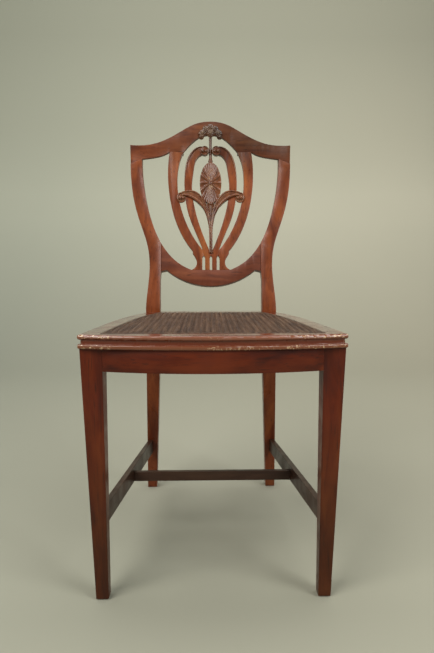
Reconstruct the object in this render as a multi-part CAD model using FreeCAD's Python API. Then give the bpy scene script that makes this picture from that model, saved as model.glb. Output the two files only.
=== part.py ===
import FreeCAD, Part
import math
import os

# Shield back side chair with a cane seat, in millimetres.
# The pieces are drawn in the chair's working axes: x to the viewer's right, y back from the front
# faces of the front legs, z up from the floor. The last step puts the origin under the middle.
# Left and right are as seen by someone facing the chair.

# Seat and seat frame
seat_height = 458.0
frame_thickness = 23.0
top_bead_height = 8.5
cove_height = 7.0
cove_depth = 4.0
bead_rounding = 3.8
lower_bead_rounding = 2.5
frame_corner_rounding = 3.0
front_bow = 23.0
frame_front_overhang = 4.0
frame_side_overhang = 2.5
frame_rear_inset = 1.5
side_straight_share = 0.55
side_curve_power = 4.5
frame_back_reveal = 2.0

# Cane seat
cane_border_side = 36.5
cane_border_front = 10.0
cane_border_back = 14.0
cane_rest_margin = 11.0
cane_thickness = 1.6
cane_pitch = 20.0
cane_strand_width = 7.5
cane_edge_band = 3.0
groove_width = 5.0
groove_depth = 6.0
reed_rise = 0.8

# Seat rails
rail_height = 38.0
rail_thickness = 22.0
rail_side_reveal = 0.5
rear_rail_setback = 3.0

# Front legs
front_leg_spread_top = 216.0
front_leg_spread_foot = 201.0
front_leg_width_top = 36.5
front_leg_width_foot = 21.5
front_leg_depth_top = 36.5
front_leg_depth_foot = 20.0
side_face_slope = 0.09
foot_chamfer = 2.5

# Rear posts
post_face_y = 376.0
post_inner_x = 118.5
post_width = 32.2
post_depth_seat = 30.0
rear_foot_center_x = 151.0
rear_foot_width = 22.5
rear_foot_depth = 24.0
rear_foot_setback = 79.0
rear_leg_bend = 60.0
back_rake_degrees = 12.0
back_bend = 40.0
post_flat_above_seat = 4.0

# Shield back, measured in its own leaning plane: x across, s up the back from the seat
back_hollow_radius = 900.0
shield_depth = 22.0
rib_depth = 12.0
under_flat = 7.0
under_bevel_degrees = 24.0
rail_joint_x = 116.5
rail_joint_low_s = 97.0
rail_joint_high_s = 163.5
crest_joint_outer = (187.0, 350.0)
crest_joint_inner = (161.5, 363.5)
crest_ear = (188.8, 395.5)
crest_top_s = 463.5
arch_top_s = 430.0
rib_head_s = 385.7
rib_head_inner_x = 65.0
rib_head_outer_x = 97.3
rib_foot_s = 101.5
rib_foot_half_width = 45.5
shield_bottom_s = 63.5
rail_step = (103.5, 100.5)
slot_top_s = 131.0
slot_close_s = 136.5
side_slot_inner_x = 13.7
side_slot_outer_x = 20.2
middle_slot_half_width = 2.8
rib_glue_x = 16.8
rib_fork = (18.5, 148.0)

# Carved pieces in the middle of the shield
stem_half_width = 4.0
stem_foot_s = 141.0
medallion_center_s = 310.5
medallion_half_width = 25.6
medallion_half_height = 50.5
medallion_depth = 12.0
medallion_rise = 3.5
flute_count = 14
flute_depth = 1.6
cap_height = 11.0
cap_half_width = 5.0
rib_volute = (13.9, 390.5)
rib_volute_radius = 9.5
rib_volute_rise = 2.0
leaf_volute = (67.5, 271.5)
leaf_volute_radius = 9.4
leaf_rise = 5.0
leaf_body_depth = 9.0
leaf_lap_depth = 3.0
carving_rise = 5.0

# Stretchers
stretcher_width = 11.0
stretcher_height = 32.0
stretcher_tenon_thickness = 6.0
side_stretcher_top_front = 158.3
side_stretcher_top_rear = 134.0
side_stretcher_front_x = 188.5
side_stretcher_rear_x = 148.0
medial_y = 222.5
medial_bottom = 116.0
medial_height = 20.0
medial_depth = 10.0
medial_tenon_depth = 7.0
medial_tenon_shoulder = 3.0

# Joints and fixings
tenon_thickness = 8.0
tenon_depth = 16.0
tenon_shoulder = 5.0
rear_rail_tenon_depth = 10.0
back_tenon_thickness = 7.0
back_tenon_depth = 14.0
glue_gap = 0.1
curve_gap = 0.3
mortise_end_gap = 1.0
block_reach = 52.0
block_drop = 2.0
screw_shank_radius = 2.0
screw_head_radius = 4.0
screw_head_height = 2.6
screw_hole_gap = 0.15
block_screw_length = 28.5
block_screw_spread = 14.0
frame_screw_length = 44.0
frame_screw_sink = 7.0
front_frame_screw_shift = 2.0
rear_frame_screw_shift = -10.0
dowel_radius = 4.0
dowel_length = 20.0
dowel_place_front = 0.35
dowel_place_rear = 0.5
dowel_height_share = 0.36

# Sizes that follow from the ones above
leg_top = seat_height - frame_thickness
rail_bottom = leg_top - rail_height
rake = math.radians(back_rake_degrees)
post_outer_x = post_inner_x + post_width
post_back_y = post_face_y + post_depth_seat
front_leg_inner_x = front_leg_spread_top - front_leg_width_top
frame_front_half = front_leg_spread_top + frame_side_overhang
frame_rear_half = post_outer_x - frame_rear_inset
frame_back_y = post_back_y - frame_back_reveal
cane_back_y = post_face_y - cane_border_back
post_flat_top = seat_height + post_flat_above_seat
shield_origin_y = post_face_y - math.tan(rake) * (post_flat_above_seat + back_bend / 2.0)
cut_reach = 60.0
side_samples = 8


def point(x, y, z=0.0):
    return FreeCAD.Vector(x, y, z)


def polygon_wire(points):
    return Part.makePolygon(points + [points[0]])


def prism(wire, vector):
    return Part.Face(wire).extrude(vector)


def box(x_range, y_range, z_range):
    low = point(min(x_range), min(y_range), min(z_range))
    return Part.makeBox(
        abs(x_range[1] - x_range[0]),
        abs(y_range[1] - y_range[0]),
        abs(z_range[1] - z_range[0]),
        low,
    )


def mirrored(shape):
    return shape.mirror(point(0, 0, 0), point(1, 0, 0))


def one_solid(shape):
    solids = sorted(shape.Solids, key=lambda solid: solid.Volume)
    return solids[-1]


def joined(shapes):
    return one_solid(shapes[0].fuse(shapes[1:]).removeSplitter())


# Tenons and mortises
def grown(ranges, gap):
    return [(min(r) - gap, max(r) + gap) for r in ranges]


def tenon(ranges):
    return box(*ranges)


def mortise(ranges):
    return box(*grown(ranges, glue_gap))


# Seat outline
def side_half_width(y):
    front_y = -frame_front_overhang
    share = (y - front_y) / (post_face_y - front_y)
    curve = side_straight_share * share + (1.0 - side_straight_share) * share ** side_curve_power
    return frame_front_half - (frame_front_half - frame_rear_half) * curve


def side_curve(inset, y_from, y_to, z):
    step = (y_to - y_from) / (side_samples - 1)
    places = [y_from + step * i for i in range(side_samples)]
    points = [point(side_half_width(y) - inset, y, z) for y in places]
    curve = Part.BSplineCurve()
    curve.interpolate(points)
    return curve.toShape()


def bow_arc(half_width, end_y, z):
    left = point(-half_width, end_y, z)
    right = point(half_width, end_y, z)
    return Part.Arc(left, point(0, end_y - front_bow, z), right).toShape()


def seat_outline(inset, z):
    front_y = -frame_front_overhang + inset
    front_x = side_half_width(front_y) - inset
    right = side_curve(inset, front_y, post_face_y, z)
    notch = [
        point(frame_rear_half - inset, post_face_y, z),
        point(post_inner_x, post_face_y, z),
        point(post_inner_x, frame_back_y, z),
    ]
    back = [point(-p.x, p.y, z) for p in reversed(notch)]
    edges = [bow_arc(front_x, front_y, z), right]
    edges += Part.makePolygon(notch + back).Edges
    edges.append(mirrored(right))
    return Part.Wire(Part.__sortEdges__(edges))


def cane_outline(inset, z):
    front_y = cane_border_front + inset
    back_y = cane_back_y - inset
    right = side_curve(cane_border_side + inset, front_y, back_y, z)
    front_x = side_half_width(front_y) - cane_border_side - inset
    back_x = side_half_width(back_y) - cane_border_side - inset
    front = Part.makeLine(point(-front_x, front_y, z), point(front_x, front_y, z))
    back = Part.makeLine(point(back_x, back_y, z), point(-back_x, back_y, z))
    return Part.Wire(Part.__sortEdges__([front, right, back, mirrored(right)]))


# Seat frame: bead, cove and bead round the edge, mitred at four corners
def moulded_layer(inset, z_low, height, rounding):
    layer = prism(seat_outline(inset, z_low), point(0, 0, height))
    corners = [
        edge
        for edge in layer.Edges
        if edge.BoundBox.ZLength > height / 2 and edge.BoundBox.YMax < front_leg_depth_top
    ]
    layer = layer.makeFillet(frame_corner_rounding, corners)
    if not rounding:
        return layer
    shaped = []
    for edge in layer.Edges:
        limits = edge.BoundBox
        level = limits.ZLength < height / 2
        ahead_of_posts = limits.YMax < post_face_y + glue_gap
        lengthwise = limits.YMin < front_leg_depth_top
        if level and ahead_of_posts and lengthwise:
            shaped.append(edge)
    return layer.makeFillet(rounding, shaped)


def frame_blank():
    cove_low = seat_height - top_bead_height - cove_height
    lower_bead_height = frame_thickness - top_bead_height - cove_height
    layers = [
        moulded_layer(0.0, seat_height - top_bead_height, top_bead_height, bead_rounding),
        moulded_layer(cove_depth, cove_low, cove_height, 0.0),
        moulded_layer(0.0, leg_top, lower_bead_height, lower_bead_rounding),
    ]
    blank = joined(layers)
    opening = prism(cane_outline(cane_rest_margin, leg_top), point(0, 0, frame_thickness))
    groove_low = seat_height - groove_depth
    up = point(0, 0, groove_depth)
    groove = prism(cane_outline(-groove_width / 2, groove_low), up)
    groove = groove.cut(prism(cane_outline(groove_width / 2, groove_low), up))
    blank = blank.cut(opening).cut(groove)
    for side in (-1, 1):
        notch = box(
            (side * (post_inner_x - curve_gap), side * (frame_rear_half + cut_reach)),
            (post_face_y - curve_gap, post_back_y + cut_reach),
            (leg_top, seat_height),
        )
        blank = blank.cut(notch)
    return blank


def frame_joint_points():
    front_y = cane_border_front + cane_rest_margin
    back_y = cane_back_y - cane_rest_margin
    inner = cane_border_side + cane_rest_margin
    front_in = point(side_half_width(front_y) - inner, front_y)
    front_out = point(frame_front_half, -frame_front_overhang)
    rear_in = point(side_half_width(back_y) - inner, back_y)
    rear_out = point(frame_rear_half, post_face_y)
    return front_in, front_out, rear_in, rear_out


def beyond(inner, outer):
    way = (outer - inner).normalize()
    return outer + way * cut_reach


def raised(points, z):
    return [point(p.x, p.y, z) for p in points]


def across(p):
    return point(-p.x, p.y, p.z)


def end_region(inner, outer, far_y):
    far = beyond(inner, outer)
    outline = [across(inner), inner, far, point(far.x, far_y), point(-far.x, far_y), across(far)]
    return prism(polygon_wire(raised(outline, leg_top)), point(0, 0, frame_thickness))


def frame_dowel(inner, outer, place):
    middle = inner + (outer - inner) * place
    way = (outer - inner).normalize()
    along = point(-way.y, way.x)
    start = middle - along * (dowel_length / 2)
    start.z = leg_top + frame_thickness * dowel_height_share
    return start, along


def seat_frame():
    blank = frame_blank()
    front_in, front_out, rear_in, rear_out = frame_joint_points()
    front_region = end_region(front_in, front_out, -front_bow - cut_reach)
    rear_region = end_region(rear_in, rear_out, post_back_y + cut_reach)
    front = one_solid(blank.common(front_region))
    rear = one_solid(blank.common(rear_region))
    sides = blank.cut(front_region).cut(rear_region).Solids
    sides = sorted(sides, key=lambda solid: solid.Volume)[-2:]
    left, right = sorted(sides, key=lambda solid: solid.CenterOfMass.x)
    dowels = []
    holes = []
    for inner, outer, place in (
        (front_in, front_out, dowel_place_front),
        (rear_in, rear_out, dowel_place_rear),
    ):
        start, along = frame_dowel(inner, outer, place)
        dowel = Part.makeCylinder(dowel_radius, dowel_length, start, along)
        hole_start = start - along * mortise_end_gap
        hole_length = dowel_length + 2 * mortise_end_gap
        hole = Part.makeCylinder(dowel_radius + glue_gap, hole_length, hole_start, along)
        dowels += [dowel, mirrored(dowel)]
        holes += [hole, mirrored(hole)]
    members = [front, left, right, rear]
    members = [one_solid(member.cut(holes)) for member in members]
    return members, Part.makeCompound(dowels)


# Cane: one holed sheet, held down by a reed pressed into the groove
def cane_hole(x, y):
    half = (cane_pitch - cane_strand_width) / 2
    cut = half / 2.5
    corners = [
        (half, half - cut), (half - cut, half), (cut - half, half), (-half, half - cut),
        (-half, cut - half), (cut - half, -half), (half - cut, -half), (half, cut - half),
    ]
    return polygon_wire([point(x + dx, y + dy, seat_height) for dx, dy in corners])


def cane_panel():
    edge_inset = groove_width / 2 + glue_gap
    sheet = cane_outline(edge_inset, seat_height)
    wires = [sheet]
    half = cane_pitch / 2
    front_y = cane_border_front + edge_inset + cane_edge_band
    back_y = cane_back_y - edge_inset - cane_edge_band
    rows = int((back_y - front_y) // cane_pitch)
    first_y = (front_y + back_y) / 2 - (rows - 1) * half
    for row in range(rows):
        y = first_y + row * cane_pitch
        room = side_half_width(y + half) - cane_border_side - edge_inset - cane_edge_band
        columns = int(2 * room // cane_pitch)
        for column in range(columns):
            x = (column - (columns - 1) / 2) * cane_pitch
            wires.append(cane_hole(x, y))
    face = Part.makeFace(wires, "Part::FaceMakerBullseye")
    return face.extrude(point(0, 0, cane_thickness))


def reed_spline():
    half = groove_width / 2 - glue_gap
    low = seat_height - groove_depth + glue_gap
    up = point(0, 0, groove_depth - glue_gap + reed_rise)
    reed = prism(cane_outline(-half, low), up).cut(prism(cane_outline(half, low), up))
    return one_solid(reed)


# Front legs
def leg_section(share, z, inset=0.0):
    outer_x = front_leg_spread_foot + (front_leg_spread_top - front_leg_spread_foot) * share
    width = front_leg_width_foot + (front_leg_width_top - front_leg_width_foot) * share
    depth = front_leg_depth_foot + (front_leg_depth_top - front_leg_depth_foot) * share
    corners = [
        (outer_x - width + inset, inset),
        (outer_x - inset, inset),
        (outer_x - depth * side_face_slope - inset, depth - inset),
        (outer_x - width + inset, depth - inset),
    ]
    return polygon_wire([point(x, y, z) for x, y in corners])


def front_leg_solid():
    share = foot_chamfer / leg_top
    sections = [
        leg_section(0.0, 0.0, foot_chamfer),
        leg_section(share, foot_chamfer),
        leg_section(1.0, leg_top),
    ]
    return Part.makeLoft(sections, True, True)


# Shield plane helpers: outlines are drawn in x and s, sawn straight through, and hollowed
def flat(p):
    return point(p[0], 0.0, p[1])


def line_edge(start, end):
    return Part.makeLine(flat(start), flat(end))


def curve_edge(points):
    curve = Part.BSplineCurve()
    curve.interpolate([flat(p) for p in points])
    return curve.toShape()


def arc_edge(start, middle, end):
    return Part.Arc(flat(start), flat(middle), flat(end)).toShape()


def run(points):
    if len(points) == 2:
        return line_edge(points[0], points[1])
    return curve_edge(points)


def flipped(points):
    return [(-x, s) for x, s in reversed(points)]


def hollow(x):
    return math.sqrt(back_hollow_radius ** 2 - x ** 2) - math.sqrt(
        back_hollow_radius ** 2 - ((post_inner_x + post_outer_x) / 2) ** 2
    )


def hollow_board(front, back):
    half = crest_ear[0] + cut_reach / 4
    height = crest_top_s + cut_reach
    rings = []
    for offset in (front, back):
        radius = back_hollow_radius + offset
        center = hollow(0) - back_hollow_radius
        side = math.sqrt(radius ** 2 - half ** 2) + center
        left = point(-half, side)
        right = point(half, side)
        rings.append((left, right, Part.Arc(left, point(0, radius + center), right).toShape()))
    (front_left, front_right, front_arc), (back_left, back_right, back_arc) = rings
    edges = [front_arc, Part.makeLine(front_right, back_right), back_arc]
    edges.append(Part.makeLine(back_left, front_left))
    wire = Part.Wire(Part.__sortEdges__(edges))
    return prism(wire, point(0, 0, height))


def sawn(edges, front, back):
    wire = Part.Wire(Part.__sortEdges__(edges))
    blank = prism(wire, point(0, 2 * cut_reach, 0))
    blank.translate(point(0, -cut_reach, 0))
    return one_solid(hollow_board(front, back).common(blank))


def button(center, radius, front, back):
    axis = point(0, 1, 0)
    blank = Part.makeCylinder(radius, 2 * cut_reach, point(center[0], -cut_reach, center[1]), axis)
    return one_solid(hollow_board(front, back).common(blank))


def back_tenon(x_range, s_range, depth=shield_depth):
    middle = hollow((x_range[0] + x_range[1]) / 2) + depth / 2
    half = back_tenon_thickness / 2
    return [x_range, (middle - half, middle + half), s_range]


def lean(shape):
    placed = shape.copy()
    placed.rotate(point(0, 0, 0), point(1, 0, 0), -back_rake_degrees)
    placed.translate(point(0, shield_origin_y, seat_height))
    return placed


# Rear posts: leg and stile in one piece
def leg_face(drop, setback, bend):
    slope = setback / (rail_bottom - bend / 2)
    if drop < bend:
        return slope * drop ** 2 / (2 * bend)
    return slope * (drop - bend / 2)


def rear_leg_solid():
    slope = rear_foot_setback / (rail_bottom - rear_leg_bend / 2)
    bend_low = rail_bottom - rear_leg_bend
    bend_y = leg_face(rear_leg_bend, rear_foot_setback, rear_leg_bend)
    mid_drop = rear_leg_bend / 2
    mid_y = leg_face(mid_drop, rear_foot_setback, rear_leg_bend)
    front_foot = post_face_y + slope * (rail_bottom - mid_drop)
    back_setback = rear_foot_setback - (post_depth_seat - rear_foot_depth)
    back_bend_y = leg_face(rear_leg_bend, back_setback, rear_leg_bend)
    back_mid_y = leg_face(mid_drop, back_setback, rear_leg_bend)
    wide = frame_front_half + cut_reach
    top = post_flat_top

    def side(y, z):
        return point(0, y, z)

    profile = [
        Part.makeLine(side(front_foot, 0), side(post_face_y + bend_y, bend_low)),
        Part.Arc(
            side(post_face_y + bend_y, bend_low),
            side(post_face_y + mid_y, rail_bottom - mid_drop),
            side(post_face_y, rail_bottom),
        ).toShape(),
        Part.makeLine(side(post_face_y, rail_bottom), side(post_face_y, top)),
        Part.makeLine(side(post_face_y, top), side(post_back_y, top)),
        Part.makeLine(side(post_back_y, top), side(post_back_y, rail_bottom)),
        Part.Arc(
            side(post_back_y, rail_bottom),
            side(post_back_y + back_mid_y, rail_bottom - mid_drop),
            side(post_back_y + back_bend_y, bend_low),
        ).toShape(),
        Part.makeLine(
            side(post_back_y + back_bend_y, bend_low),
            side(front_foot + rear_foot_depth, 0),
        ),
        Part.makeLine(side(front_foot + rear_foot_depth, 0), side(front_foot, 0)),
    ]
    side_blank = prism(Part.Wire(Part.__sortEdges__(profile)), point(wide, 0, 0))
    foot_in = rear_foot_center_x - rear_foot_width / 2
    foot_out = rear_foot_center_x + rear_foot_width / 2
    face = [
        point(foot_in, 0, 0),
        point(post_inner_x, 0, rail_bottom),
        point(post_inner_x, 0, top),
        point(post_outer_x, 0, top),
        point(post_outer_x, 0, rail_bottom),
        point(foot_out, 0, 0),
    ]
    front_blank = prism(polygon_wire(face), point(0, 2 * front_foot, 0))
    leg = one_solid(side_blank.common(front_blank))
    ground = [edge for edge in leg.Edges if edge.BoundBox.ZMax < foot_chamfer / 2]
    return leg.makeChamfer(foot_chamfer / 2, ground)


def stile_section(level, twist, depth):
    places = (post_inner_x - cut_reach / 2, crest_ear[0] + cut_reach / 5)
    near = [point(x, twist * hollow(x), level) for x in places]
    far = [point(x, twist * hollow(x) + depth, level) for x in reversed(places)]
    return lean(polygon_wire(near + far))


def flat_section(z):
    rise = z - post_flat_top
    y = post_face_y + math.tan(rake) * rise ** 2 / (2 * back_bend)
    places = (post_inner_x - cut_reach / 2, crest_ear[0] + cut_reach / 5)
    near = [point(x, y, z) for x in places]
    far = [point(x, y + post_depth_seat, z) for x in reversed(places)]
    return polygon_wire(near + far)


def stile_solid():
    start = post_flat_above_seat + post_depth_seat * math.sin(rake)
    levels = [
        flat_section(post_flat_top),
        flat_section(post_flat_top + back_bend / 5),
        stile_section(rail_joint_low_s * 0.62, 0.6, shield_depth + 5.0),
        stile_section(rail_joint_low_s, 1.0, shield_depth + 1.5),
        stile_section((rail_joint_low_s + rail_joint_high_s) / 2, 1.0, shield_depth),
        stile_section((rail_joint_high_s + crest_joint_inner[1]) / 2, 1.0, shield_depth),
        stile_section(crest_joint_inner[1] + mortise_end_gap, 1.0, shield_depth),
    ]
    blank = Part.makeLoft(levels, True, False)
    outer = [
        (post_outer_x, start),
        (post_outer_x - 1.0, start + 14.0),
        (post_outer_x - 7.1, start + 69.0),
        (post_outer_x - 8.5, start + 98.0),
        (post_outer_x - 4.1, start + 143.0),
        (post_outer_x + 13.7, start + 199.6),
        (post_outer_x + 28.0, start + 251.5),
        (post_outer_x + 35.1, start + 310.0),
        crest_joint_outer,
    ]
    inner = [
        (rail_joint_x, rail_joint_high_s),
        (rail_joint_x + 17.3, rail_joint_high_s + 38.5),
        (rail_joint_x + 34.0, rail_joint_high_s + 98.5),
        (rail_joint_x + 42.9, rail_joint_high_s + 159.0),
        crest_joint_inner,
    ]
    low = -cut_reach
    edges = [
        line_edge((post_inner_x, low), (post_outer_x, low)),
        line_edge((post_outer_x, low), (post_outer_x, start)),
        curve_edge(outer),
        line_edge(crest_joint_outer, crest_joint_inner),
        curve_edge(inner),
        line_edge((rail_joint_x, rail_joint_high_s), (rail_joint_x, rail_joint_low_s)),
        line_edge((rail_joint_x, rail_joint_low_s), (post_inner_x, rail_joint_low_s - 18.0)),
        line_edge((post_inner_x, rail_joint_low_s - 18.0), (post_inner_x, low)),
    ]
    wire = Part.Wire(Part.__sortEdges__(edges))
    front_blank = prism(wire, point(0, 4 * cut_reach, 0))
    front_blank.translate(point(0, -2 * cut_reach, 0))
    return one_solid(blank.common(lean(front_blank)))


# Tenon sizes in the shield plane
def crest_tenon():
    x_low = crest_joint_inner[0] + 5.5
    return back_tenon((x_low, x_low + 14.0), (crest_joint_outer[1], crest_joint_inner[1] + 16.0))


def lower_rail_tenon():
    x_range = (rail_joint_x, rail_joint_x + back_tenon_depth)
    return back_tenon(x_range, (rail_joint_low_s + 12.0, rail_joint_high_s - 14.0))


def rib_foot_tenon(x_low, x_high):
    return back_tenon((x_low, x_high), (rib_foot_s - back_tenon_depth, rib_foot_s), rib_depth)


def outer_rib_head_tenon():
    x_range = (rib_head_inner_x + 6.0, rib_head_outer_x - 7.0)
    return back_tenon(x_range, (rib_head_s, rib_head_s + back_tenon_depth), rib_depth)


def mirror_ranges(ranges):
    return [(-ranges[0][1], -ranges[0][0]), ranges[1], ranges[2]]


# Crest rail and shield lower rail
def under_bevel(points):
    slope = math.tan(math.radians(under_bevel_degrees))
    start = -cut_reach
    edge = [(x, s + (start - hollow(x) - under_flat) * slope) for x, s in points]
    low = min(s for _, s in edge) - cut_reach
    closing = [edge[-1], (edge[-1][0], low)], [(edge[-1][0], low), (edge[0][0], low)]
    edges = [curve_edge(edge)] + [run(points) for points in closing]
    edges.append(line_edge((edge[0][0], low), edge[0]))
    wire = Part.Wire(Part.__sortEdges__(edges))
    wedge = prism(wire, point(0, 3 * cut_reach, 3 * cut_reach * slope))
    wedge.translate(point(0, start, 0))
    return wedge


def crest_rail():
    top_half = [
        crest_ear,
        (171.0, crest_top_s - 67.2),
        (137.4, crest_top_s - 61.2),
        (103.5, crest_top_s - 46.6),
        (69.5, crest_top_s - 25.4),
        (35.6, crest_top_s - 6.2),
        (0.0, crest_top_s),
    ]
    under = [
        crest_joint_inner,
        (135.0, rib_head_s - 16.3),
        (114.0, rib_head_s - 9.8),
        (rib_head_outer_x, rib_head_s),
    ]
    arch_half = [
        (rib_head_inner_x, rib_head_s),
        (55.0, rib_head_s + 12.3),
        (42.0, rib_head_s + 25.8),
        (24.0, rib_head_s + 39.3),
        (0.0, arch_top_s),
    ]
    head = [(rib_head_outer_x, rib_head_s), (rib_head_inner_x, rib_head_s)]
    joint = [crest_joint_outer, crest_joint_inner]
    ear_end = [crest_joint_outer, crest_ear]
    edges = [
        curve_edge(top_half + flipped(top_half)[1:]),
        curve_edge(arch_half + flipped(arch_half)[1:]),
    ]
    for part in (under, head, joint, ear_end):
        edges += [run(part), run(flipped(part))]
    rail = sawn(edges, 0.0, shield_depth)
    shoulder = under_bevel(under)
    rail = rail.cut([shoulder, mirrored(shoulder), under_bevel(arch_half + flipped(arch_half)[1:])])
    pockets = [crest_tenon(), outer_rib_head_tenon()]
    pockets += [mirror_ranges(pocket) for pocket in pockets]
    rail = rail.cut([mortise(pocket) for pocket in pockets])
    return one_solid(rail.cut(stem_dowel(arch_top_s, glue_gap)))


def shield_lower_rail():
    top = [
        (rail_joint_x, rail_joint_high_s),
        (101.4, rib_foot_s + 40.5),
        (81.8, rib_foot_s + 20.4),
        (64.0, rib_foot_s + 8.5),
        (rib_foot_half_width, rib_foot_s),
    ]
    end = [(rail_joint_x, rail_joint_low_s), (rail_joint_x, rail_joint_high_s)]
    step = [rail_step, (rail_joint_x, rail_joint_low_s)]
    edges = [
        arc_edge(rail_step, (0.0, shield_bottom_s), (-rail_step[0], rail_step[1])),
        line_edge((rib_foot_half_width, rib_foot_s), (-rib_foot_half_width, rib_foot_s)),
    ]
    for part in (top, end, step):
        edges += [run(part), run(flipped(part))]
    rail = sawn(edges, 0.0, shield_depth)
    pockets = [mortise(foot) for foot in (outer_rib_foot(), inner_rib_foot())]
    pockets += [mirrored(pocket) for pocket in pockets]
    rail = rail.cut(pockets)
    tongue = tenon(lower_rail_tenon())
    return joined([one_solid(rail), tongue, mirrored(tongue)])


# Ribs of the shield: each runs from the lower rail up past the cuff, where they are glued
def outer_rib_foot():
    return rib_foot_tenon(side_slot_outer_x + 3.0, rib_foot_half_width - 8.0)


def inner_rib_foot():
    return rib_foot_tenon(middle_slot_half_width + 1.6, side_slot_inner_x - 1.6)


def outer_rib():
    waist = [
        (rib_foot_half_width, rib_foot_s),
        (37.5, rib_foot_s + 5.5),
        (33.5, rib_foot_s + 13.5),
        (34.0, rib_foot_s + 23.5),
        (38.0, rib_foot_s + 32.0),
        (42.5, rib_foot_s + 39.0),
    ]
    cuff = [(42.5, rib_foot_s + 39.0), (42.5, rib_foot_s + 45.0)]
    outer = [
        (42.5, rib_foot_s + 45.0),
        (61.8, rib_foot_s + 72.0),
        (85.6, rib_foot_s + 125.4),
        (97.4, rib_foot_s + 179.2),
        (101.0, rib_foot_s + 232.5),
        (rib_head_outer_x, rib_head_s),
    ]
    inner = [
        (rib_head_inner_x, rib_head_s),
        (75.4, rib_head_s - 31.0),
        (79.0, rib_head_s - 69.0),
        (75.9, rib_head_s - 109.4),
        (62.0, rib_head_s - 161.7),
        (36.2, rib_head_s - 213.9),
        rib_fork,
    ]
    outline = [
        waist,
        cuff,
        outer,
        [(rib_head_outer_x, rib_head_s), (rib_head_inner_x, rib_head_s)],
        inner,
        [rib_fork, (rib_glue_x, slot_close_s)],
        [(rib_glue_x, slot_close_s), (side_slot_outer_x, slot_top_s)],
        [(side_slot_outer_x, slot_top_s), (side_slot_outer_x, rib_foot_s)],
        [(side_slot_outer_x, rib_foot_s), (rib_foot_half_width, rib_foot_s)],
    ]
    body = sawn([run(points) for points in outline], 0.0, rib_depth)
    return joined([body, tenon(outer_rib_foot()), tenon(outer_rib_head_tenon())])


def inner_rib():
    head_x = rib_volute[0] + 3.0
    outer = [
        rib_fork,
        (31.6, rib_fork[1] + 34.0),
        (51.8, rib_fork[1] + 85.4),
        (61.2, rib_fork[1] + 137.0),
        (62.2, rib_fork[1] + 170.0),
        (57.0, rib_fork[1] + 215.0),
        (44.8, rib_fork[1] + 240.5),
        (31.0, rib_fork[1] + 251.5),
        (head_x, rib_volute[1] + rib_volute_radius),
    ]
    inner = [
        (head_x, rib_volute[1] - rib_volute_radius + 2.0),
        (24.0, rib_volute[1] - 10.0),
        (32.6, rib_volute[1] - 18.5),
        (40.1, rib_volute[1] - 45.2),
        (44.4, rib_volute[1] - 84.5),
        (40.8, rib_volute[1] - 125.5),
        (27.6, rib_volute[1] - 179.0),
        (stem_half_width, stem_foot_s + 8.0),
    ]
    slot_roof = [(0.0, slot_close_s), (middle_slot_half_width, slot_top_s)]
    outline = [
        outer,
        [outer[-1], inner[0]],
        inner,
        [inner[-1], (stem_half_width, stem_foot_s)],
        [(stem_half_width, stem_foot_s), (0.0, stem_foot_s)],
        [(0.0, stem_foot_s), (0.0, slot_close_s)],
        slot_roof,
        [(middle_slot_half_width, slot_top_s), (middle_slot_half_width, rib_foot_s)],
        [(middle_slot_half_width, rib_foot_s), (side_slot_inner_x, rib_foot_s)],
        [(side_slot_inner_x, rib_foot_s), (side_slot_inner_x, slot_top_s)],
        [(side_slot_inner_x, slot_top_s), (rib_glue_x, slot_close_s)],
        [(rib_glue_x, slot_close_s), rib_fork],
    ]
    body = sawn([run(points) for points in outline], 0.0, rib_depth)
    volute = button(rib_volute, rib_volute_radius, -rib_volute_rise, rib_depth)
    rib = joined([body, volute, tenon(inner_rib_foot())])
    return one_solid(rib.cut(leaf_lap()))


# Leaf spray: reeded stem that forks into two branches, lapped over the inner ribs
def leaf_branch(grow, front, back):
    low = leaf_volute[1] + 6.5
    branch = [
        (leaf_volute[0] - 2.0, low - grow),
        (54.0, low - 1.0 - grow),
        (36.0, leaf_volute[1] + 1.0 - grow),
        (17.3 + grow, leaf_volute[1] - 23.3 - grow),
        (7.0 + grow, leaf_volute[1] - 53.7),
        (stem_half_width + grow, leaf_volute[1] - 75.0),
    ]
    top = [
        (leaf_volute[0] + 5.0, leaf_volute[1] + 7.5 + grow),
        (61.0, leaf_volute[1] + 16.5 + grow),
        (50.0, leaf_volute[1] + 20.0 + grow),
        (38.0, leaf_volute[1] + 18.6 + grow),
        (27.0, leaf_volute[1] + 13.0 + grow),
        (14.0, leaf_volute[1] + 0.5 + grow),
        (0.0, leaf_volute[1] - 7.0 + grow),
    ]
    stem_low = (0.0, leaf_volute[1] - 75.0)
    outline = [
        branch,
        [branch[-1], stem_low],
        [stem_low, top[-1]],
        top,
        [top[0], branch[0]],
    ]
    return sawn([run(points) for points in outline], front, back)


def leaf_lap():
    return leaf_branch(curve_gap, -leaf_rise - cut_reach / 4, leaf_lap_depth + curve_gap)


def leaf_stem():
    high = leaf_volute[1] - 20.0
    half = stem_half_width
    outline = [
        [(-half, stem_foot_s), (half, stem_foot_s)],
        [(half, stem_foot_s), (half, high)],
        [(half, high), (-half, high)],
        [(-half, high), (-half, stem_foot_s)],
    ]
    return sawn([run(points) for points in outline], -leaf_rise / 2, rib_depth)


def leaf_spray():
    branch = leaf_branch(0.0, -leaf_rise, leaf_lap_depth)
    core = leaf_branch(0.0, 0.0, leaf_body_depth)
    reach = box((0.0, medallion_half_width), (-cut_reach, cut_reach), (stem_foot_s, crest_top_s))
    core = one_solid(core.common(reach))
    volute = button(leaf_volute, leaf_volute_radius, -leaf_rise, -curve_gap)
    half = joined([branch, volute, core])
    spray = joined([half, mirrored(half), leaf_stem()])
    return one_solid(spray.cut(medallion_oval(curve_gap, -cut_reach / 2, cut_reach / 2)))


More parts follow.
